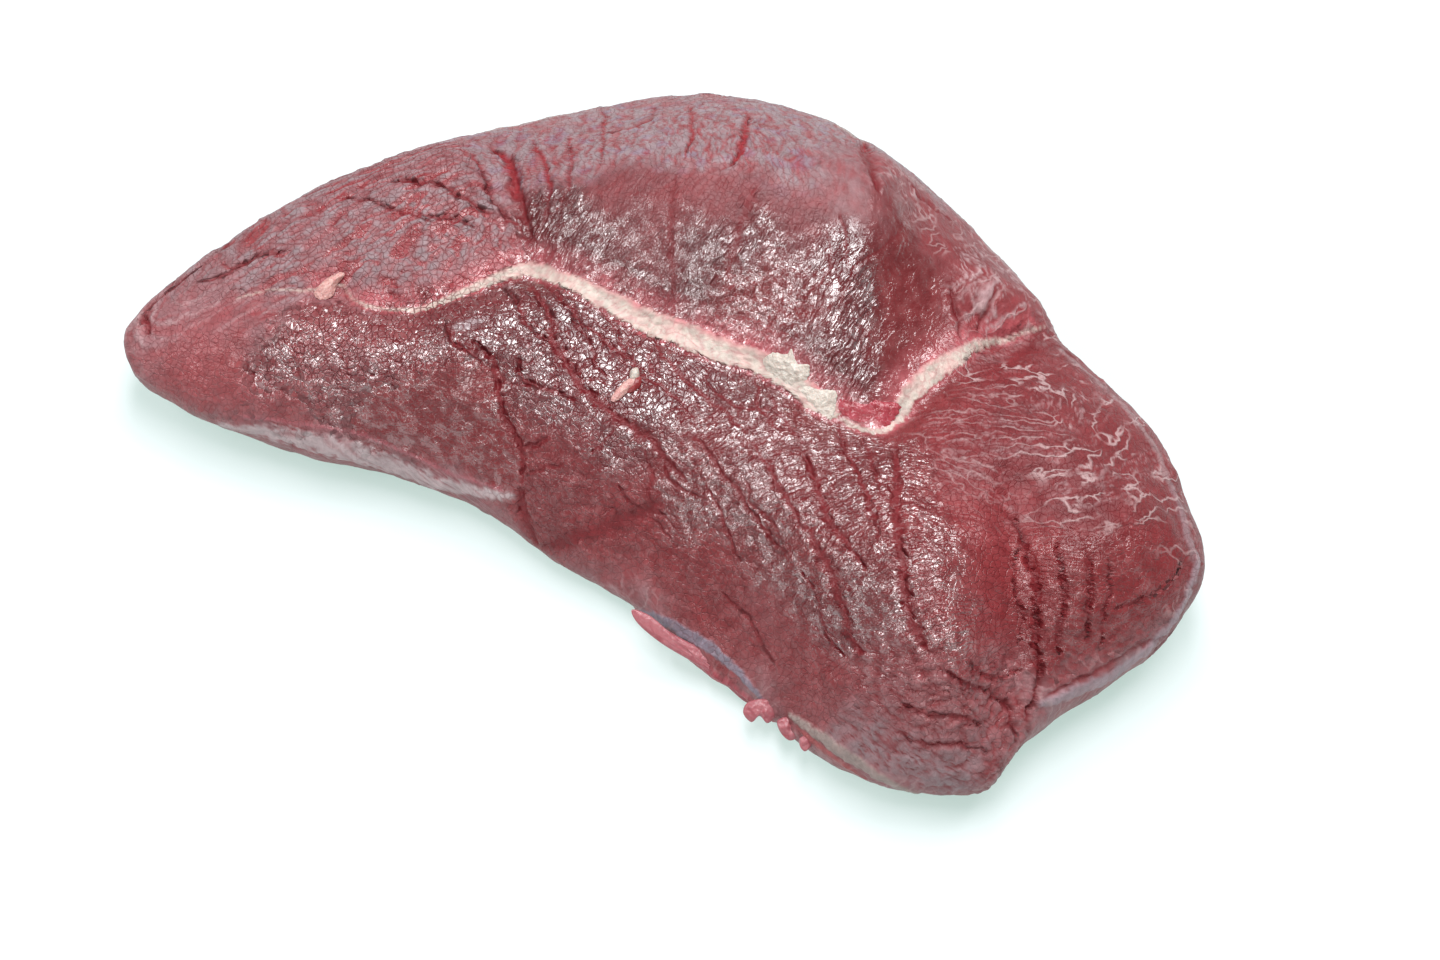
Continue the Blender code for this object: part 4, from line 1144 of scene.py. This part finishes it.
    # painted shade: the darkness of the cracks and rib hollows is mixed towards a darker deep red
    crack_shade_mix = node("ShaderNodeMix", data_type='RGBA')
    link(math('MULTIPLY', dark, 0.75, clamp=True), crack_shade_mix.inputs[0])
    link(fill(node("ShaderNodeVectorMath", operation='SCALE'), paint, None, None, tone).outputs[0], crack_shade_mix.inputs[6])
    crack_shade_mix.inputs[7].default_value = (*(CREASE_SHADE_RED * 0.72), 1)
    strung = node("ShaderNodeMix", data_type='RGBA')
    link(math('MULTIPLY', threads, 0.8, clamp=True), strung.inputs[0])
    link(crack_shade_mix.outputs[2], strung.inputs[6])
    strung.inputs[7].default_value = (*hue(186, 158, 158), 1)
    link(strung.outputs[2], shader.inputs["Base Color"])

    rough = math('SUBTRACT', 0.52, math('MULTIPLY', gloss, 0.24))
    rough = math('ADD', rough, math('MULTIPLY', fat, 0.10))
    rough = math('ADD', rough, math('MULTIPLY', math('SUBTRACT', blotch, 0.5), 0.16), clamp=True)
    link(rough, shader.inputs["Roughness"])
    shader.inputs["IOR"].default_value = 1.45
    shader.inputs["Specular IOR Level"].default_value = 0.35
    return mat


meat_mesh.materials.clear()
meat_mesh.materials.append(build_meat("raw_beef_surface"))
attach(roast, "root")
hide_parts("bolar_roast")

# ---------------------------------------------------- loose bits on the meat

top_of = KDTree(COUNT)
for k_, p_ in enumerate(final):
    top_of.insert(p_, k_)
top_of.balance()


def plain_material(name, tint, other, roughness, grain_size=400.0, relief=0.0005):
    mat = bpy.data.materials.new(name)
    mat.use_nodes = True
    nt = mat.node_tree
    shader = nt.nodes["Principled BSDF"]
    where = nt.nodes.new("ShaderNodeTexCoord")
    mottle = nt.nodes.new("ShaderNodeTexNoise")
    mottle.inputs["Scale"].default_value = grain_size
    mottle.inputs["Detail"].default_value = 4
    ramp = nt.nodes.new("ShaderNodeValToRGB")
    ramp.color_ramp.elements[0].position, ramp.color_ramp.elements[1].position = 0.35, 0.65
    ramp.color_ramp.elements[0].color = (*other, 1)
    ramp.color_ramp.elements[1].color = (*tint, 1)
    bump = nt.nodes.new("ShaderNodeBump")
    bump.inputs["Distance"].default_value = relief
    nt.links.new(where.outputs["Object"], mottle.inputs["Vector"])
    nt.links.new(mottle.outputs["Fac"], ramp.inputs[0])
    nt.links.new(mottle.outputs["Fac"], bump.inputs["Height"])
    nt.links.new(ramp.outputs[0], shader.inputs["Base Color"])
    nt.links.new(bump.outputs[0], shader.inputs["Normal"])
    shader.inputs["Roughness"].default_value = roughness
    shader.inputs["Subsurface Weight"].default_value = 0.2
    shader.inputs["Subsurface Radius"].default_value = (1.0, 0.5, 0.4)
    shader.inputs["Subsurface Scale"].default_value = 0.001
    return mat


def lump(name, outline, height, lift, material, seed, rough=0.14, rings=14):
    """A bit of meat or fat with a closed (u, v) outline, lying on the skin"""
    ring = np.array([base[at(u, v)] for u, v in outline])
    mid = ring.mean(0)
    up = normal[solid_finder.find(mid)[1]]
    x = ring[0] - mid
    x -= up * (x @ up)
    x /= np.linalg.norm(x)
    y = np.cross(up, x)
    flat = np.stack([(ring - mid) @ x, (ring - mid) @ y], 1)
    m = len(flat)
    t = np.arange(72) / 72 * m
    i = np.floor(t).astype(int)
    f = (t - i)[:, None]
    p0, p1, p2, p3 = flat[(i - 1) % m], flat[i % m], flat[(i + 1) % m], flat[(i + 2) % m]
    edge = 0.5 * (2 * p1 + (p2 - p0) * f + (2 * p0 - 5 * p1 + 4 * p2 - p3) * f**2 + (3 * p1 - p0 - 3 * p2 + p3) * f**3)
    edge *= (1 + rough * 0.35 * noise(np.c_[edge / 1.1, np.full(72, seed)], seed))[:, None]
    verts, faces = [], []
    for half in (1, -1):
        for k in range(rings + 1):
            r = sin(pi / 2 * k / rings)
            xy = edge * r
            rise = half * height * (1 - r ** 2.6) ** 0.5 * (0.6 if half < 0 else 1.0)
            q = mid + xy[:, :1] * x + xy[:, 1:] * y
            q += up * (rise * (1 + rough * noise(q / 1.4, seed + 1)) + lift)[:, None]
            verts.append(q)
    verts = np.concatenate(verts)
    # the edge follows the meat below
    under = np.array([final[top_of.find(p)[1]] for p in verts])
    low = np.tile(np.repeat(np.sin(pi / 2 * np.arange(rings + 1) / rings) ** 3, 72), 2)
    verts = verts + ((under - verts) @ up * 0.7 * low)[:, None] * up
    for half in (0, 1):
        for k in range(rings):
            a0, b0 = (half * (rings + 1) + k) * 72, (half * (rings + 1) + k + 1) * 72
            for j in range(72):
                n_ = (j + 1) % 72
                quad = (a0 + j, b0 + j, b0 + n_, a0 + n_)
                faces.append(quad if half == 0 else quad[::-1])
    mesh = bpy.data.meshes.new(name)
    mesh.from_pydata((verts * MM).tolist(), [], faces)
    bm_ = bmesh.new()
    bm_.from_mesh(mesh)
    bmesh.ops.remove_doubles(bm_, verts=bm_.verts, dist=0.00002)
    bmesh.ops.recalc_face_normals(bm_, faces=bm_.faces)
    bm_.to_mesh(mesh)
    bm_.free()
    mesh.shade_smooth()
    mesh.materials.append(material)
    obj = bpy.data.objects.new(name, mesh)
    bpy.context.scene.collection.objects.link(obj)
    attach(obj, "root")
    return obj


UP_IN_VIEW = np.array(UPWARD)
PIXEL = DISTANCE / FOCAL


def tag(name, anchor, outline, thick, material, seed, forward=0.5, rough=0.3):
    """A soft tag seen face on, its outline in steps of the frame around the anchor"""
    mid = final[at(*anchor)] + np.array(BACKWARD) * forward
    ring = np.array(outline, float) - np.array(anchor, float)
    m = len(ring)
    t = np.arange(60) / 60 * m
    i = np.floor(t).astype(int)
    f = (t - i)[:, None]
    p0, p1, p2, p3 = ring[(i - 1) % m], ring[i % m], ring[(i + 1) % m], ring[(i + 2) % m]
    edge = 0.5 * (2 * p1 + (p2 - p0) * f + (2 * p0 - 5 * p1 + 4 * p2 - p3) * f**2 + (3 * p1 - p0 - 3 * p2 + p3) * f**3)
    heart = edge.mean(0)
    verts, faces = [], []
    for half in (1, -1):
        for k in range(13):
            r = sin(pi / 2 * k / 12)
            xy = (heart + (edge - heart) * r) * PIXEL
            q = mid + xy[:, :1] * np.array(RIGHT) - xy[:, 1:] * UP_IN_VIEW
            swell_ = thick * (1 - r ** 2.4) ** 0.5 * half
            q = q + np.array(BACKWARD) * (swell_ * (1 + rough * noise(q / 1.6, seed)))[:, None]
            q[:, 2] = np.maximum(q[:, 2], 0.3)
            verts.append(q)
    verts = np.concatenate(verts)
    for half in (0, 1):
        for k in range(12):
            a0, b0 = (half * 13 + k) * 60, (half * 13 + k + 1) * 60
            for j in range(60):
                n_ = (j + 1) % 60
                quad = (a0 + j, b0 + j, b0 + n_, a0 + n_)
                faces.append(quad if half == 0 else quad[::-1])
    mesh = bpy.data.meshes.new(name)
    mesh.from_pydata((verts * MM).tolist(), [], faces)
    bm_ = bmesh.new()
    bm_.from_mesh(mesh)
    bmesh.ops.remove_doubles(bm_, verts=bm_.verts, dist=0.00002)
    bmesh.ops.recalc_face_normals(bm_, faces=bm_.faces)
    bm_.to_mesh(mesh)
    bm_.free()
    mesh.shade_smooth()
    mesh.materials.append(material)
    obj = bpy.data.objects.new(name, mesh)
    bpy.context.scene.collection.objects.link(obj)
    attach(obj, "root")
    return obj


suet = plain_material("suet", hue(198, 188, 178), hue(174, 160, 150), 0.5, 700.0, 0.0011)
pink_suet = plain_material("pink_suet", hue(200, 160, 152), hue(180, 124, 120), 0.4, 800.0, 0.0009)
raw_pink = plain_material("raw_pink", hue(158, 92, 98), hue(146, 72, 80), 0.3)
raw_red = plain_material("raw_red", hue(136, 46, 46), hue(120, 36, 38), 0.35)
moist = plain_material("moist_pink", hue(158, 66, 76), hue(134, 42, 50), 0.14, 300.0, 0.0012)

lump("fat_chunk_left", [(764, 362), (774, 352), (786, 355), (793, 351), (798, 362), (811, 366), (807, 380), (797, 384), (794, 394), (782, 388), (775, 378)], 1.3, 0.75, suet, 3, 0.2)
lump("fat_chunk_right", [(796, 388), (806, 384), (818, 389), (836, 391), (837, 402), (835, 412), (830, 421), (820, 415), (812, 404), (801, 398)], 0.9, 0.65, suet, 5, 0.16)
lump("fat_fold", [(314, 294), (320, 284), (330, 277), (340, 272), (345, 275), (338, 284), (333, 296), (322, 299)], 1.1, 0.9, pink_suet, 7)
lump("scrap", [(611, 399), (616, 389), (625, 381), (633, 377), (638, 382), (630, 389), (622, 397), (614, 402)], 1.0, 0.6, pink_suet, 9)
lump("scrap_head", [(630, 372), (636, 368), (640, 372), (638, 380), (632, 380)], 1.1, 1.0, suet, 11)
lump("scrap_red", [(637, 376), (641, 378), (640, 386), (633, 392), (627, 393), (632, 387)], 0.9, 0.5, raw_red, 13)
tag("tag_large", (764, 704), [(744, 712), (748, 702), (762, 698), (774, 700), (778, 712), (768, 722), (760, 715), (752, 721)], 1.6, raw_pink, 21)
tag("tag_middle", (784, 724), [(776, 722), (786, 718), (796, 724), (797, 736), (788, 741), (779, 733)], 1.4, raw_pink, 23)
tag("tag_small", (805, 740), [(800, 738), (808, 736), (811, 745), (805, 751), (800, 746)], 1.1, raw_pink, 25)
tag("lip", (694, 650), [(634, 610), (652, 616), (672, 632), (704, 650), (730, 668), (752, 690), (758, 704), (744, 700), (722, 680), (696, 663), (664, 644), (640, 624)], 1.3, raw_pink, 27)
lump("moist_gap", [(836, 402), (843, 397), (856, 401), (868, 397), (882, 402), (897, 404), (901, 411), (893, 420), (888, 428), (878, 423), (864, 425), (850, 418), (840, 413)], 0.7, 0.35, moist, 15, 0.22)

# --------------------------------------------------- floor, light and camera

floor_mesh = bpy.data.meshes.new("floor")
bm = bmesh.new()
bmesh.ops.create_grid(bm, x_segments=1, y_segments=1, size=6)
bm.to_mesh(floor_mesh)
bm.free()
floor = bpy.data.objects.new("floor", floor_mesh)
floor.location = (0, 0, -0.0003)
bpy.context.scene.collection.objects.link(floor)
board = bpy.data.materials.new("pale_floor")
board.use_nodes = True
paper = board.node_tree.nodes["Principled BSDF"]
paper.inputs["Base Color"].default_value = (0.38, 0.35, 0.38, 1)
paper.inputs["Roughness"].default_value = 0.7
paper.inputs["Specular IOR Level"].default_value = 0.1
paper.inputs["Emission Color"].default_value = (0.71, 1.0, 0.90, 1)
paper.inputs["Emission Strength"].default_value = 0.52
floor_mesh.materials.append(board)

world = bpy.data.worlds.new("studio")
bpy.context.scene.world = world
world.use_nodes = True
world.node_tree.nodes["Background"].inputs["Color"].default_value = (0.93, 1.0, 0.96, 1)
world.node_tree.nodes["Background"].inputs["Strength"].default_value = 0.28


def softbox(name, place, aim, width, height, power, colour=(1, 1, 1), up='Y'):
    data = bpy.data.lights.new(name, 'AREA')
    data.shape = 'RECTANGLE'
    data.size, data.size_y = width, height
    data.energy = power
    data.color = colour
    lamp = bpy.data.objects.new(name, data)
    lamp.location = Vector(place)
    lamp.rotation_euler = (Vector(aim) - Vector(place)).to_track_quat('-Z', up).to_euler()
    bpy.context.scene.collection.objects.link(lamp)
    return lamp


# One long softbox overhead, its length running away from the camera, and a second
# one at the left, lower down
eye_side = np.array([BACKWARD[0], BACKWARD[1], 0.0])
eye_side /= np.linalg.norm(eye_side)


def strip_light(name, aside, toward, reach, width, length, radiance, colour):
    """A softbox in the direction that leans aside and toward the camera, in degrees"""
    way = np.array([0.0, 0.0, 1.0]) + RIGHT * np.tan(radians(aside)) + eye_side * np.tan(radians(toward))
    way /= np.linalg.norm(way)
    x = np.cross(eye_side, way)
    x /= np.linalg.norm(x)
    y = np.cross(way, x)
    lamp = softbox(name, (0, 0, 1), (0, 0, 0), width, length, radiance * pi * width * length, colour)
    place = way * reach
    lamp.matrix_world = Matrix([(x[i], y[i], way[i], place[i]) for i in range(3)] + [(0, 0, 0, 1)])
    return lamp


strip_light("overhead", 2, -12, 1.9, 0.62, 2.00, 11.0, (0.97, 0.985, 1.0))
strip_light("right", 34, -20, 1.9, 0.55, 0.95, 10.0, (0.97, 0.985, 1.0))
strip_light("front", 4, 56, 2.2, 1.9, 0.60, 4.5, (1.0, 0.98, 0.98))
strip_light("left", -49, 0, 1.9, 0.42, 1.50, 9.0, (0.96, 0.985, 1.0))

cam_data = bpy.data.cameras.new("camera")
cam_data.sensor_width = 36
cam_data.lens = 36 * FOCAL / 1440
cam_data.clip_start = 0.01
cam_data.clip_end = 30
camera = bpy.data.objects.new("camera", cam_data)
camera.matrix_world = Matrix((
    (RIGHT[0], UPWARD[0], BACKWARD[0], EYE[0] * MM),
    (RIGHT[1], UPWARD[1], BACKWARD[1], EYE[1] * MM),
    (RIGHT[2], UPWARD[2], BACKWARD[2], EYE[2] * MM),
    (0, 0, 0, 1)))
bpy.context.scene.collection.objects.link(camera)
bpy.context.scene.camera = camera
bpy.context.scene.view_settings.view_transform = 'Standard'
bpy.context.scene.view_settings.look = 'None'
bpy.context.scene.view_settings.exposure = 0.0
